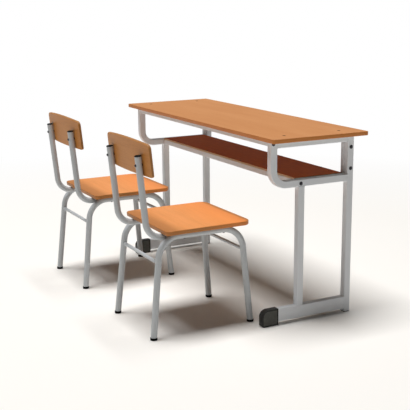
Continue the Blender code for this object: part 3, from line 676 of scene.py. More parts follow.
def recessed_head(start, heading, profile, recess, depth):
    """Mesh of a turned screw head whose top, the first pair of its profile, has a driver recess."""
    bm = bmesh.new()
    top, bottom = add_skin(bm, turned_rings(start, heading, profile))
    bm.faces.new(bottom)
    face = profile[0][0]
    floor = [spot * RECESS_FLOOR for spot in recess]
    mouth, base = add_skin(bm, [square_ring(start + heading * face, heading, recess),
                                square_ring(start + heading * (face + depth), heading, floor)])
    bm.faces.new(base)
    rim = [bm.edges.get((loop[index - 1], loop[index])) for loop in (top, mouth)
           for index in range(len(loop))]
    bmesh.ops.triangle_fill(bm, use_beauty=True, use_dissolve=False, edges=rim)
    return bm


def cross_recess(radius, shares):
    """Outline of a cross driver recess, whose reach and width are shares of the head's radius."""
    reach, width = [radius * share for share in shares]
    half = width / 2
    quarter = [Vector((reach, -half)), Vector((reach, half)), Vector((half, half))]
    outline = []
    for turn in range(4):
        spin = Matrix.Rotation(QUARTER_TURN * turn, 2)
        outline += [spin @ spot for spot in quarter]
    return outline


def smooth_but_creased(mesh):
    """Smooth shading with the creases left sharp."""
    mesh.shade_smooth()
    mesh.set_sharp_from_angle(angle=SMOOTH_ANGLE)


def add_object(name, bm):
    """An object in the scene with a finished mesh, smooth but for its creases."""
    bmesh.ops.recalc_face_normals(bm, faces=bm.faces)
    mesh = bpy.data.meshes.new(name)
    bm.to_mesh(mesh)
    bm.free()
    smooth_but_creased(mesh)
    made = bpy.data.objects.new(name, mesh)
    bpy.context.scene.collection.objects.link(made)
    return made


def piece(name, bm, material, slot, body, *nodes):
    """A finished mesh that rides on a body and stands for the CAD nodes that it names."""
    made = add_object(name, bm)
    made.data.materials.append(material)
    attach(made, body)
    if nodes:
        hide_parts(*nodes)
    return made


def second_finish(made, material, chosen):
    """Give the chosen faces of a piece another finish."""
    made.data.materials.append(material)
    for face in made.data.polygons:
        if chosen(face):
            face.material_index = 1


def weld_bead(name, loop, body, closed=True):
    """Bead of overlapping ripples along a seam, under the same coat as the tubes."""
    points = []
    ends = loop + loop[:1] if closed else loop
    for before, after in zip(ends, ends[1:]):
        count = max(1, round((after - before).length / BEAD_STEP))
        points += [before.lerp(after, step / count) for step in range(count)]
    if not closed:
        points.append(ends[-1])
    rings = []
    travelled = 0
    for index, point in enumerate(points):
        before = points[index - 1] if closed or index else point
        after = points[(index + 1) % len(points)] if closed or index < len(points) - 1 else point
        ripple = abs(math.sin(math.pi * travelled / BEAD_PITCH))
        radius = BEAD_RADIUS * (1 - BEAD_RIPPLE_SHARE + BEAD_RIPPLE_SHARE * ripple)
        rings.append(square_ring(point, (after - before).normalized(), circle(radius, BEAD_SIDES)))
        travelled += (after - point).length
    coat = desk_coat if body == "desk" else chair_coat
    piece(name, solid(rings, closed), coat, "frame_paint", body)


# Desk's frames


def square_tube(node, path, side, sizes, wall=FRAME_WALL, corner=FRAME_CORNER):
    """Painted tube of rectangular section, straight or bent; sizes are square to side, then along."""
    first, second = sizes
    outer = rounded_rectangle(first, second, corner)
    inner = rounded_rectangle(first - wall * 2, second - wall * 2, corner - wall)
    piece("painted_" + node, tube(path, side, outer, inner), desk_coat, "frame_paint", "desk", node)


def seam(centre, first, second, sizes):
    """Loop round the end of a tube, where it is welded to the face of another."""
    outline = rounded_rectangle(sizes[0], sizes[1], FRAME_CORNER)
    return [centre + first * spot.x + second * spot.y for spot in outline]


def make_end_frame(name, side):
    """One welded end frame: bent front leg, rear post, apron, lower leg and foot rail."""
    x = side * FRAME_X
    section = (FRAME_TUBE, FRAME_TUBE)
    leg_y = FRAME_FRONT + FRAME_TUBE / 2
    run_z = LEG_RUN_BOTTOM + FRAME_TUBE / 2
    apron_z = FRAME_TOP - FRAME_TUBE / 2
    foot_z = FOOT_RAIL_TOP - FOOT_RAIL_HEIGHT / 2
    corners = [Vector((x, leg_y, FRAME_TOP)), Vector((x, leg_y, run_z)), Vector((x, POST_FRONT, run_z))]
    square_tube("front_leg_" + name, rounded_path(corners, [LEG_BEND_RADIUS]), ALONG_X, section)
    straight = (("rear_post", (POST_Y, POST_PLUG), (POST_Y, FRAME_TOP), section),
                ("lower_leg", (LOWER_LEG_Y, FOOT_RAIL_TOP), (LOWER_LEG_Y, LEG_RUN_BOTTOM), section),
                ("foot_rail", (FOOT_RAIL_START, foot_z), (POST_FRONT, foot_z),
                 (FOOT_RAIL_HEIGHT, FRAME_TUBE)),
                ("side_apron", (LEG_REAR, apron_z), (POST_FRONT, apron_z), section))
    for node, start, end, sizes in straight:
        square_tube(f"{node}_{name}", [Vector((x, *start)), Vector((x, *end))], ALONG_X, sizes)
    welds = (("apron_front", LEG_REAR, apron_z, UP, section),
             ("apron_rear", POST_FRONT, apron_z, UP, section),
             ("leg_run", POST_FRONT, run_z, UP, section),
             ("foot_rail", POST_FRONT, foot_z, UP, (FRAME_TUBE, FOOT_RAIL_HEIGHT)),
             ("lower_leg_top", LOWER_LEG_Y, LEG_RUN_BOTTOM, ALONG_Y, section),
             ("lower_leg_foot", LOWER_LEG_Y, FOOT_RAIL_TOP, ALONG_Y, section))
    for spot, y, z, second, sizes in welds:
        weld_bead(f"weld_{spot}_{name}", seam(Vector((x, y, z)), ALONG_X, second, sizes), "desk")
    make_post_plug(name, x)


def make_post_plug(name, x):
    """Black plug in the floor end of the rear post, with a thin flange under the tube."""
    flange = rounded_rectangle(FRAME_TUBE, FRAME_TUBE, FRAME_CORNER)
    sole = inset_outline(flange, CAP_RIM_BEVEL)
    bore = rounded_rectangle(FRAME_TUBE - FRAME_WALL * 2 - GAP, FRAME_TUBE - FRAME_WALL * 2 - GAP,
                             FRAME_CORNER - FRAME_WALL)
    levels = ((sole, 0), (flange, CAP_RIM_BEVEL), (flange, POST_PLUG), (bore, POST_PLUG),
              (bore, POST_PLUG_SHANK))
    rings = [[Vector((x + spot.x, POST_Y + spot.y, height)) for spot in outline]
             for outline, height in levels]
    piece("post_plug_" + name, solid(rings), tip_plastic, "black_plastic", "desk")


def cap_ring(x, inset, across):
    """Side outline of a toe cap, moved in by the same width all round, at a place across the cap."""
    heel = FOOT_RAIL_START - GAP - inset
    toe = FOOT_RAIL_START - GAP - CAP_LENGTH + inset
    top = CAP_HEIGHT - inset
    corners = [Vector((toe, inset)), Vector((heel, inset)), Vector((heel, top)), Vector((toe, top))]
    radii = [max(radius - inset, GAP)
             for radius in (CAP_TOE_RADIUS, CAP_HEEL_RADIUS, CAP_HEEL_RADIUS, CAP_TOP_RADIUS)]
    return [Vector((x + across, spot.x, spot.y)) for spot in rounded_outline(corners, radii, CAP_STEPS)]


def make_toe_cap(name, x):
    """Moulded toe cap: a polished border round a sunk matt panel on each side."""
    half = FRAME_TUBE / 2
    sunk = half - CAP_PANEL_SINK
    levels = [(CAP_RIM + CAP_RIM_BEVEL, sunk), (CAP_RIM, sunk + CAP_RIM_BEVEL),
              (CAP_RIM - CAP_RIM_BEVEL, half)]
    for step in range(EASE_STEPS + 1):
        turn = QUARTER_TURN * step / EASE_STEPS
        levels.append((CAP_EASE * (1 - math.sin(turn)), half - CAP_EASE * (1 - math.cos(turn))))
    levels += [(inset, -across) for inset, across in reversed(levels)]
    rings = [cap_ring(x, inset, across) for inset, across in levels]
    piece("toe_cap_" + name, solid(rings), cap_plastic, "foot_plastic", "desk", "foot_cap_" + name)
    edge = CAP_RIM + CAP_PANEL_MARGIN
    rise = CAP_RIM_BEVEL / 2
    for face_name, face in SIDES:
        rings = [cap_ring(x, edge + inset, face * (sunk + lift))
                 for inset, lift in ((0, 0), (0, rise / 2), (rise, rise))]
        piece(f"toe_cap_{name}_panel_{face_name}", solid(rings), cap_panel_plastic, "foot_plastic",
              "desk")


def make_rails():
    """The four long rails and the two rear uprights."""
    section = (RAIL_HEIGHT, RAIL_DEPTH)
    upright_inner = UPRIGHT_X - UPRIGHT_WIDTH / 2
    rails = (("front_top_rail", INNER_X, TOP_RAIL_Y, TOP_RAIL_Z),
             ("front_shelf_rail", INNER_X, SHELF_RAIL_Y, SHELF_RAIL_Z),
             ("rear_top_rail", upright_inner, REAR_TOP_RAIL_Y, TOP_RAIL_Z),
             ("rear_shelf_rail", INNER_X, REAR_SHELF_RAIL_Y, SHELF_RAIL_Z))
    for node, reach, y, z in rails:
        square_tube(node, [Vector((-reach, y, z)), Vector((reach, y, z))], ALONG_Y, section,
                    RAIL_WALL, RAIL_CORNER)
        if node.startswith("rear"):
            for name, side in SIDES:
                loop = seam(Vector((side * reach, y, z)), ALONG_Y, UP, (RAIL_DEPTH, RAIL_HEIGHT))
                weld_bead(f"weld_{node}_{name}", loop, "desk")
    for name, side in SIDES:
        x = side * UPRIGHT_X
        square_tube("rear_upright_" + name, [Vector((x, POST_Y, SHELF_RAIL_BOTTOM)),
                                             Vector((x, POST_Y, FRAME_TOP))],
                    ALONG_X, (FRAME_TUBE, UPRIGHT_WIDTH), RAIL_WALL, RAIL_CORNER)


# Desk's boards


def board_rings(outline, ease, thickness):
    """Rings of a flat board with eased edges, as (outline, depth under the top) pairs."""
    rings = [(inset_outline(outline, ease + GAP), 0)]
    for step in range(EASE_STEPS + 1):
        turn = QUARTER_TURN * step / EASE_STEPS
        rings.append((inset_outline(outline, ease * (1 - math.sin(turn))), ease * (1 - math.cos(turn))))
    return rings + [(ring, thickness - depth) for ring, depth in reversed(rings)]


def flat_board(name, rings, top, material, slot, *nodes):
    """Board of the desk from its rings, with its upper face at a height."""
    levels = [[Vector((spot.x, spot.y, top - depth)) for spot in ring] for ring, depth in rings]
    return piece(name, solid(levels), material, slot, "desk", *nodes)


def drill(board, centres, radius, depth):
    """Cut straight holes down into the mesh of a board."""
    bm = bmesh.new()
    for centre in centres:
        solid(turned_rings(centre + UP * depth, -UP, [(0, radius), (depth * 2, radius)]), bm=bm)
    cutter = add_object("board_drill", bm)
    hole = board.modifiers.new("holes", "BOOLEAN")
    hole.solver = "EXACT"
    hole.object = cutter
    bpy.context.view_layer.update()
    shaped = board.evaluated_get(bpy.context.evaluated_depsgraph_get())
    board.data = bpy.data.meshes.new_from_object(shaped)
    smooth_but_creased(board.data)
    board.modifiers.clear()
    bpy.data.objects.remove(cutter, do_unlink=True)


def make_desk_board():
    """Board with a laminate sheet on top and a brown band round its edge, and its four sunk screws."""
    outline = [spot + Vector((0, DESK_Y))
               for spot in rounded_rectangle(TOP_WIDTH, TOP_DEPTH, TOP_CORNER_RADIUS,
                                             BOARD_CORNER_STEPS)]
    rings = board_rings(outline, TOP_EASE, TOP_THICKNESS)
    sheet_rings = [ring for ring in rings if ring[1] <= LAMINATE_THICKNESS]
    core_rings = [ring for ring in rings if ring[1] >= LAMINATE_THICKNESS]
    sheet_rings.append((sheet_rings[-1][0], core_rings[0][1]))
    sheet = flat_board("laminate_sheet", sheet_rings, DESK_HEIGHT, board_laminate, "desk_board")
    core = flat_board("board_core", core_rings, DESK_HEIGHT, edge_band, "desk_board", "desk_top")
    inset = TOP_DEPTH / 2 - TOP_SCREW_INSET
    seats = {f"top_screw_{name}_{row}": Vector((side * FRAME_X, DESK_Y + end * inset, DESK_HEIGHT))
             for name, side in SIDES for row, end in (("rear", 1), ("front", -1))}
    for board in (sheet, core):
        drill(board, seats.values(), TOP_SCREW_HEAD_RADIUS + TOP_SCREW_CLEARANCE, TOP_SCREW_HEAD)
    second_finish(core, backing, lambda face: face.normal.z < -LEVEL_NORMAL and
                  face.center.z < DESK_HEIGHT - TOP_THICKNESS / 2)
    for name, seat in seats.items():
        rim = TOP_SCREW_HEAD_RADIUS
        profile = [(0, rim * COUNTERSUNK_FACE), (GAP / 2, rim), (GAP * 2, rim),
                   (TOP_SCREW_HEAD - GAP, rim * COUNTERSUNK_NECK)]
        head = recessed_head(seat - UP * TOP_SCREW_SINK, -UP, profile,
                             cross_recess(rim, COUNTERSUNK_CROSS), TOP_SCREW_HEAD / 2)
        piece("sunk_" + name, head, wood_screw_steel, "dark_steel", "desk", name)


def make_frame_bolts():
    """Button-head bolts through the end frames, each on a thin washer."""
    spots = (("top_rail", TOP_RAIL_Y, TOP_RAIL_Z), ("shelf_rail", SHELF_RAIL_Y, SHELF_RAIL_Z),
             ("upper_post", POST_Y, FRAME_TOP - UPPER_BOLT_DROP),
             ("lower_post", POST_Y, FRAME_TOP - LOWER_BOLT_DROP))
    for name, side in SIDES:
        for spot, y, z in spots:
            seat = Vector((side * (OUTER_X + GAP), y, z))
            node = f"{spot}_bolt_{name}"
            add_bolt(node, seat, ALONG_X * side, "desk", (BOLT_HEAD_RADIUS, BOLT_HEAD),
                     BOLT_WASHER_RADIUS, [node])


def add_bolt(name, seat, outward, body, head, washer_radius, nodes=()):
    """Domed head with a hexagon socket, its washer and a stub of its shank."""
    radius, height = head
    profile = []
    for step in range(EASE_STEPS + 1):
        turn = QUARTER_TURN * (BUTTON_DOME_START + (1 - BUTTON_DOME_START) * step / EASE_STEPS)
        breadth = BUTTON_FACE + (1 - BUTTON_FACE) * math.sin(turn)
        profile.append((-height * math.cos(turn), radius * breadth))
    profile += [(0, radius * SHANK), (height * 2, radius * SHANK)]
    hexagon = circle(radius * BUTTON_SOCKET, 6)
    button = recessed_head(seat + outward * BOLT_WASHER, -outward, profile, hexagon, height / 2)
    piece("socket_" + name, button, screw_steel, "dark_steel", body, *nodes)
    bevel = BOLT_WASHER / 4
    profile = [(0, washer_radius - bevel), (bevel, washer_radius),
               (BOLT_WASHER - bevel, washer_radius), (BOLT_WASHER, washer_radius - bevel)]
    piece("washer_" + name, turned(seat, outward, profile), screw_steel, "dark_steel", body)


def add_pan_screw(name, seat, inward, radius, height, body, sunk=0):
    """Small pan-head screw with a cross recess on a face, sunk when the face is round."""
    profile = [(-height * rise, radius * breadth) for rise, breadth in PAN_HEAD]
    if sunk:
        profile.append((sunk, radius))
    head = recessed_head(seat, inward, profile, cross_recess(radius, PAN_CROSS), height / 2)
    piece(name, head, screw_steel, "dark_steel", body)


def make_book_shelf():
    """Thin stained board on the shelf rails, held down by small screws."""
    half = INNER_X - SHELF_END_CLEARANCE
    rear = POST_FRONT - SHELF_REAR_CLEARANCE
    corners = [Vector((half, rear)), Vector((-half, rear)), Vector((-half, SHELF_FRONT)),
               Vector((half, SHELF_FRONT))]
    outline = rounded_outline(corners, [SHELF_CORNER] * 4, CORNER_STEPS)
    shelf = flat_board("hardboard_shelf", board_rings(outline, SHELF_EASE, SHELF_THICKNESS),
                       SHELF_TOP, hardboard, "shelf_board", "book_shelf")
    second_finish(shelf, hardboard_back, lambda face: face.normal.z < UPWARD_NORMAL)
    for row, y in (("front", SHELF_RAIL_Y), ("rear", REAR_SHELF_RAIL_Y)):
        for index, x in enumerate(SHELF_SCREW_PLACES):
            add_pan_screw(f"shelf_screw_{row}_{index}", Vector((x, y, SHELF_TOP)), -UP,
                          SHELF_SCREW_RADIUS, SHELF_SCREW_HEIGHT, "desk")


# Chairs


def leg_point(side, end, height):
    """Centre of a chair leg at a height; end is 1 at the front and -1 at the rear."""
    share = height / SEAT_RAIL_Z
    lean = FRONT_LEG_LEAN if end > 0 else REAR_LEG_LEAN
    x = FOOT_SPREAD / 2 * (1 - share) + RAIL_SPREAD / 2 * share
    return Vector((side * x, end * (FOOT_BASE / 2 - lean * share), height))


def round_tube(node, body, path, side, radius):
    """Painted tube of round section, straight or bent."""
    bore = circle(radius - CHAIR_TUBE_WALL, TUBE_SIDES)
    bm = tube(path, side, circle(radius, TUBE_SIDES), bore)
    piece("painted_" + node, bm, chair_coat, "frame_paint", body, node)


def make_chair_frame(chair, spot):
    """Both bent side tubes, both back posts, the stretchers and their weld beads."""
    for name, side in SIDES:
        corners = [spot + leg_point(side, end, height)
                   for end, height in ((1, TIP_SOLE), (1, SEAT_RAIL_Z), (-1, SEAT_RAIL_Z), (-1, TIP_SOLE))]
        square = (corners[1] - corners[0]).cross(corners[2] - corners[1]).normalized()
        path = rounded_path(corners, [FRONT_BEND_RADIUS, REAR_BEND_RADIUS])
        round_tube(f"{chair}_side_frame_{name}", chair, path, square, CHAIR_TUBE_RADIUS)
        corners = [spot + Vector((side * point.x, point.y, point.z))
                   for point in (POST_HEAD - POST_DIRECTION * (POST_CAP_HEIGHT + GAP), POST_FOOT,
                                 Vector((POST_X, POST_RUN_FRONT, POST_RUN_Z)))]
        path = rounded_path(corners, [POST_BEND_RADIUS])
        round_tube(f"{chair}_back_post_{name}", chair, path, ALONG_X, CHAIR_TUBE_RADIUS)
        make_run_plug(chair, name, spot + Vector((side * POST_X, POST_RUN_FRONT, POST_RUN_Z)))
        make_run_beads(chair, name, spot, side)
    for row, end, height in (("front", 1, FRONT_STRETCHER_HEIGHT), ("rear", -1, REAR_STRETCHER_HEIGHT)):
        make_stretcher(chair, spot, row, end, height)


def make_run_plug(chair, name, end):
    """Black plug in the front end of a back post's run under the seat."""
    bore = CHAIR_TUBE_RADIUS - CHAIR_TUBE_WALL
    profile = [(-RUN_PLUG_FACE, bore * RUN_PLUG_FACE_SHARE), (-GAP, bore), (0, bore),
               (RUN_PLUG_SHANK, bore - GAP)]
    piece(f"{chair}_run_plug_{name}", turned(end, -ALONG_Y, profile), tip_plastic, "black_plastic", chair)


def make_run_beads(chair, name, spot, side):
    """Two short welds between the seat rail and the run of the back post beside it."""
    rail = Vector((side * RAIL_SPREAD / 2, 0, SEAT_RAIL_Z))
    run = Vector((side * POST_X, 0, POST_RUN_Z))
    middle = (rail + run) / 2
    away = (rail - run).cross(ALONG_Y).normalized()
    if away.z < 0:
        away = -away
    for index, (start, stop) in enumerate(RUN_WELDS):
        for level in (-1, 1):
            along = [middle + away * (level * BEAD_RADIUS) + ALONG_Y * y for y in (start, stop)]
            weld_bead(f"{chair}_weld_run_{name}_{index}_{'low' if level < 0 else 'high'}",
                      [spot + point for point in along], chair, closed=False)


def make_stretcher(chair, spot, row, end, height):
    """Cross tube between two legs, with a bead round each end."""
    ends = [leg_point(side, end, height) for side in (-1, 1)]
    sunk = CHAIR_TUBE_RADIUS / 2
    path = [spot + ends[0] + ALONG_X * sunk, spot + ends[1] - ALONG_X * sunk]
    round_tube(f"{chair}_{row}_stretcher", chair, path, ALONG_Y, STRETCHER_RADIUS)
    for name, side in SIDES:
        centre = leg_point(side, end, height)
        loop = []
        for across in circle(STRETCHER_RADIUS, TUBE_SIDES):
            reach = math.sqrt(CHAIR_TUBE_RADIUS ** 2 - across.x ** 2)
            lean = leg_point(side, end, height + across.y) - centre
            loop.append(spot + centre + Vector((lean.x - side * reach, across.x + lean.y, across.y)))
        weld_bead(f"{chair}_weld_{row}_stretcher_{name}", loop, chair)


def make_tips_and_caps(chair, spot):
    """Black tips on the legs, with a grip groove, and domed caps on the back posts."""
    for name, side in SIDES:
        for row, end in (("front", 1), ("rear", -1)):
            centre = leg_point(side, end, TIP_HEIGHT / 2)
            centre.z = 0
            profile = [(height, TIP_RADIUS - step) for height, step in TIP_PROFILE]
            profile.append((TIP_HEIGHT, TIP_MOUTH_RADIUS))
            piece(f"{chair}_tip_{row}_{name}", turned(spot + centre, UP, profile), tip_plastic,
                  "black_plastic", chair, f"{chair}_foot_tip_{row}_{name}")
        head = spot + Vector((side * POST_HEAD.x, POST_HEAD.y, POST_HEAD.z))
        bore = CHAIR_TUBE_RADIUS - CHAIR_TUBE_WALL - GAP
        profile = [(POST_CAP_HEIGHT * drop, POST_CAP_RADIUS * POST_CAP_SHOWN * breadth)
                   for drop, breadth in POST_CAP_PROFILE]
        profile += [(POST_CAP_HEIGHT, bore), (POST_CAP_SHANK, bore)]
        piece(f"{chair}_domed_cap_{name}", turned(head, -POST_DIRECTION, profile), tip_plastic,
              "black_plastic", chair, f"{chair}_post_cap_{name}")


def bent_board(name, outline, creases, place, thickness, material, slot, chair, node):
    """Moulded board made flat in (across, along), creased and carried into shape.

    Each point keeps its flat place, with its depth under the top, for the grain of the finish.
    """
    bm = solid([[Vector((spot.x, spot.y, -depth)) for spot in ring]
                for ring, depth in board_rings(outline, PLY_EASE, thickness)])
    for crease in creases:
        parts = bm.verts[:] + bm.edges[:] + bm.faces[:]
        bmesh.ops.bisect_plane(bm, geom=parts, plane_co=ALONG_Y * crease, plane_no=ALONG_Y, dist=GAP / 10)
    grain = bm.verts.layers.float_vector.new("board_place")
    for vertex in bm.verts:
        across, along, depth = vertex.co.x, vertex.co.y, -vertex.co.z
        vertex[grain] = (across, along, depth)
        vertex.co = place(across, along, depth)
    return piece(name, bm, material, slot, chair, node)


def seat_place(across, along, depth):
    """Point of the seat at a depth under its top, which is flat and rolls down at the rear."""
    turn = max(-along - SEAT_FLAT_REAR, 0) / SEAT_ROLL_RADIUS
    radius = SEAT_ROLL_RADIUS - depth
    if turn == 0:
        return Vector((across, along, SEAT_HEIGHT - depth))
    drop = SEAT_ROLL_RADIUS - radius * math.cos(turn)
    return Vector((across, -SEAT_FLAT_REAR - radius * math.sin(turn), SEAT_HEIGHT - drop))


def make_seat(chair, spot):
    """Moulded plywood seat and the screws that hold it to the rails from below."""
    roll = SEAT_ROLL_RADIUS * SEAT_ROLL_ANGLE
    rear = -SEAT_FLAT_REAR - roll
    half = SEAT_WIDTH / 2
    corners = [Vector((half, SEAT_FRONT)), Vector((-half, SEAT_FRONT)), Vector((-half, rear)),
               Vector((half, rear))]
    outline = rounded_outline(corners, [SEAT_FRONT_CORNER] * 2 + [SEAT_REAR_CORNER] * 2,
                              BOARD_CORNER_STEPS)
    creases = [-SEAT_FLAT_REAR - roll * step / PLY_CREASES for step in range(PLY_CREASES)]
    bent_board(chair + "_moulded_seat", outline, creases,
               lambda across, along, depth: spot + seat_place(across, along, depth),
               SEAT_THICKNESS, seat_ply, "seat_ply", chair, chair + "_seat")
    for name, side in SIDES:
        for index, y in enumerate(SEAT_SCREW_PLACES):
            seat = spot + Vector((side * RAIL_SPREAD / 2, y, SEAT_RAIL_Z - CHAIR_TUBE_RADIUS))
            add_pan_screw(f"{chair}_seat_screw_{name}_{index}", seat, UP, SEAT_SCREW_RADIUS,
                          SEAT_SCREW_HEIGHT, chair, sunk=SEAT_SCREW_HEIGHT)


def panel_place(up, along, depth):
    """Point of the back panel, curved about an axis in front of it that leans like the posts."""
    turn = along / PANEL_CURVE_RADIUS
    radius = PANEL_CURVE_RADIUS - depth
    axis = POST_HEAD + PANEL_FORWARD * PANEL_CENTRE_REACH
    axis.x = 0
    rise = (PANEL_BOTTOM + up - POST_TOP) / POST_DIRECTION.z
    around = ALONG_X * (radius * math.sin(turn)) - PANEL_FORWARD * (radius * math.cos(turn))
    return axis + POST_DIRECTION * rise + around


def make_back_panel(chair, spot):
    """Moulded plywood back panel with an arched top edge, its grain running from side to side."""
    half = PANEL_WIDTH / 2
    arch = []
    for step in range(PANEL_STEPS + 1):
        along = half * (1 - 2 * step / PANEL_STEPS)
        arch.append(Vector((PANEL_HEIGHT + PANEL_CROWN * (1 - (along / half) ** 2), along)))
    corners = [Vector((0, -half)), Vector((0, half))] + arch
    radii = [PANEL_LOW_CORNER] * 2 + [0] * len(arch)
    radii[2] = PANEL_TOP_CORNER
    radii[-1] = PANEL_TOP_CORNER
    outline = rounded_outline(corners, radii, PANEL_CORNER_STEPS)[::-1]
    creases = [half * (1 - 2 * step / PANEL_STEPS) for step in range(1, PANEL_STEPS)]
    board = bent_board(chair + "_moulded_back", outline, creases,
                       lambda up, along, depth: spot + panel_place(up, along, depth),
                       PANEL_THICKNESS, back_ply, "back_ply", chair, chair + "_back_panel")
    grain = board.data.attributes["board_place"].data
    for value in grain:
        up, along, depth = value.vector
        value.vector = (along, up, depth)


def make_panel_bolts(chair, spot):
    """Bolt through each back post, a spacer before the panel and a domed nut on its face."""
    rise = (PANEL_BOLT_HEIGHT - POST_TOP) / POST_DIRECTION.z
    for name, side in SIDES:
        axis = spot + Vector((side * POST_X, POST_HEAD.y, POST_TOP)) + POST_DIRECTION * rise
        rear = axis - PANEL_FORWARD * (CHAIR_TUBE_RADIUS - GAP)
        add_bolt(f"{chair}_panel_bolt_{name}", rear, -PANEL_FORWARD, chair,
                 (PANEL_BOLT_HEAD_RADIUS, PANEL_BOLT_HEAD), PANEL_BOLT_WASHER_RADIUS)
        start = CHAIR_TUBE_RADIUS - PANEL_SPACER_SUNK
        profile = [(0, PANEL_BOLT_HEAD_RADIUS), (POST_CAP_RADIUS + GAP - start, PANEL_BOLT_HEAD_RADIUS)]
        spacer = turned(axis + PANEL_FORWARD * start, PANEL_FORWARD, profile)
        piece(f"{chair}_panel_spacer_{name}", spacer, tip_plastic, "black_plastic", chair)
        face = axis + PANEL_FORWARD * (POST_CAP_RADIUS + GAP + PANEL_THICKNESS)
        bevel_start, flat_share = PANEL_WASHER_BEVEL
        profile = [(-GAP, PANEL_WASHER_RADIUS), (PANEL_WASHER * bevel_start, PANEL_WASHER_RADIUS),
                   (PANEL_WASHER, PANEL_WASHER_RADIUS * flat_share)]
        washer = turned(face, PANEL_FORWARD, profile)
        piece(f"{chair}_panel_washer_{name}", washer, screw_steel, "dark_steel", chair)
        make_cap_nut(f"{chair}_panel_nut_{name}", face, chair)


def make_cap_nut(name, face, chair):
    """Domed nut on the washer at the panel's face: a short hexagon with a rounded cap."""
    radius = PANEL_NUT_RADIUS
    height = radius * NUT_HEIGHT
    top = PANEL_WASHER + height
    hexagon = [(PANEL_WASHER, radius), (top, radius)]
    bm = solid(turned_rings(face, PANEL_FORWARD, hexagon, 6))
    dome = [(top - radius * NUT_DOME_SUNK, radius * NUT_DOME)]
    steps = EASE_STEPS + 2
    for step in range(steps):
        turn = QUARTER_TURN * step / steps
        dome.append((top + height * math.sin(turn), radius * NUT_DOME * math.cos(turn)))
    solid(turned_rings(face, PANEL_FORWARD, dome), bm=bm)
    piece(name, bm, screw_steel, "dark_steel", chair)


def make_chair(chair):
    """One chair in its place in front of the desk."""
    low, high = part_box(chair + "_seat")
    spot = Vector(((low.x + high.x) / 2, high.y - SEAT_FRONT, 0))
    make_chair_frame(chair, spot)
    make_tips_and_caps(chair, spot)
    make_seat(chair, spot)
    make_back_panel(chair, spot)
    make_panel_bolts(chair, spot)


# Floor, light and camera

SOFTBOX_PLACE = Vector((-0.91, -1.155, 14))
SOFTBOX_SIZE = (5.26, 8.35)
SOFTBOX_WATTS = 2100
SKY_STRENGTH = 0.025
MIRRORED_STRENGTH = 0.28
FLOOR_HALF = 30
FLOOR_COLOUR = "#FFFCF7"
FLOOR_FADE = (1.7, 3.6)

# Solved from the corners of the desk board, the posts and the feet in the photograph
CAMERA_YAW = math.radians(62.15)
CAMERA_PITCH = math.radians(-12.95)
CAMERA_ROLL = math.radians(-0.47)
CAMERA_PLACE = Vector((3.50434, -1.76382, 1.27413))
FOCAL_PIXELS = 916.38
PICTURE_PIXELS = 410
SENSOR_WIDTH = 36


def make_floor():
    """Plain white floor that keeps the soft shadow, and turns to the white background further out."""
    material, tree = new_material("white_studio_floor")
    matt = add_node(tree, "BsdfDiffuse", {"Color": hex_colour(FLOOR_COLOUR)})
    white = add_node(tree, "Emission", {"Color": hex_colour("#FFFFFF")})
    place = add_node(tree, "TexCoord").outputs["Object"]
    reach = add_node(tree, "VectorMath", {"operation": "LENGTH"}, {0: place}).outputs["Value"]
    near, far = FLOOR_FADE
    fade = add_node(tree, "MapRange", {"From Min": near, "From Max": far}, {"Value": reach})
    seen = add_node(tree, "LightPath").outputs["Is Camera Ray"]
    share = add_node(tree, "Math", {"operation": "MULTIPLY"}, {0: fade.outputs[0], 1: seen})
    mixed = add_node(tree, "MixShader",
                     links={0: share.outputs[0], 1: matt.outputs[0], 2: white.outputs[0]})
    add_node(tree, "OutputMaterial", links={"Surface": mixed.outputs[0]})
    bm = bmesh.new()
    bmesh.ops.create_grid(bm, x_segments=1, y_segments=1, size=FLOOR_HALF)
    floor = add_object("studio_floor", bm)
    floor.data.materials.append(material)


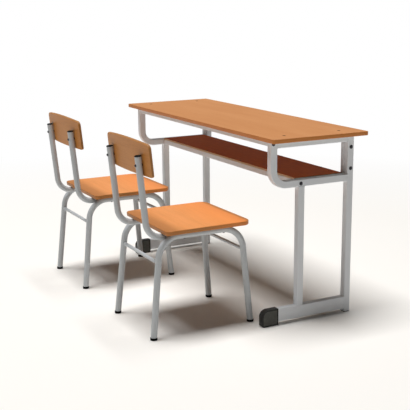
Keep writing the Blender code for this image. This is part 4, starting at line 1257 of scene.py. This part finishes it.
def make_light():
    """A broad softbox high overhead, and a dim even sky, brighter in reflections.

    The camera sees the sky white.
    """
    lamp = bpy.data.lights.new("overhead_softbox", "AREA")
    lamp.shape = "RECTANGLE"
    lamp.size, lamp.size_y = SOFTBOX_SIZE
    lamp.energy = SOFTBOX_WATTS
    holder = bpy.data.objects.new("overhead_softbox", lamp)
    holder.location = SOFTBOX_PLACE
    bpy.context.scene.collection.objects.link(holder)
    world = bpy.data.worlds.new("white_studio")
    world.use_nodes = True
    tree = world.node_tree
    tree.nodes.clear()
    path = add_node(tree, "LightPath")
    clear = add_node(tree, "Math", {"operation": "MAXIMUM"},
                     {0: path.outputs["Is Camera Ray"], 1: path.outputs["Is Transmission Ray"]})
    dim = add_node(tree, "MapRange", {"To Min": SKY_STRENGTH, "To Max": MIRRORED_STRENGTH},
                   {"Value": path.outputs["Is Glossy Ray"]})
    strength = add_node(tree, "Math", {"operation": "MAXIMUM"}, {0: clear.outputs[0], 1: dim.outputs[0]})
    sky = add_node(tree, "Background", {"Color": hex_colour("#FFFFFF")}, {"Strength": strength.outputs[0]})
    add_node(tree, "OutputWorld", links={"Surface": sky.outputs[0]})
    bpy.context.scene.world = world


def make_camera():
    """Camera at the photograph's place, aim, roll and focal length."""
    camera = bpy.data.cameras.new("photo_camera")
    camera.sensor_width = SENSOR_WIDTH
    camera.lens = FOCAL_PIXELS / PICTURE_PIXELS * SENSOR_WIDTH
    camera.clip_end = FLOOR_HALF * 4
    forward = Vector((-math.sin(CAMERA_YAW) * math.cos(CAMERA_PITCH),
                      math.cos(CAMERA_YAW) * math.cos(CAMERA_PITCH), math.sin(CAMERA_PITCH)))
    level = Vector((math.cos(CAMERA_YAW), math.sin(CAMERA_YAW), 0))
    raised = level.cross(forward)
    right = level * math.cos(CAMERA_ROLL) + raised * math.sin(CAMERA_ROLL)
    up = raised * math.cos(CAMERA_ROLL) - level * math.sin(CAMERA_ROLL)
    turn = Matrix((right, up, -forward)).transposed().to_4x4()
    holder = bpy.data.objects.new("photo_camera", camera)
    holder.matrix_world = Matrix.Translation(CAMERA_PLACE) @ turn
    bpy.context.scene.collection.objects.link(holder)
    bpy.context.scene.camera = holder


for frame_name, frame_side in SIDES:
    make_end_frame(frame_name, frame_side)
    make_toe_cap(frame_name, frame_side * FRAME_X)
make_rails()
make_desk_board()
make_frame_bolts()
make_book_shelf()
for chair_name in ("right_chair", "left_chair"):
    make_chair(chair_name)
make_floor()
make_light()
make_camera()
bpy.context.scene.view_settings.view_transform = "Standard"
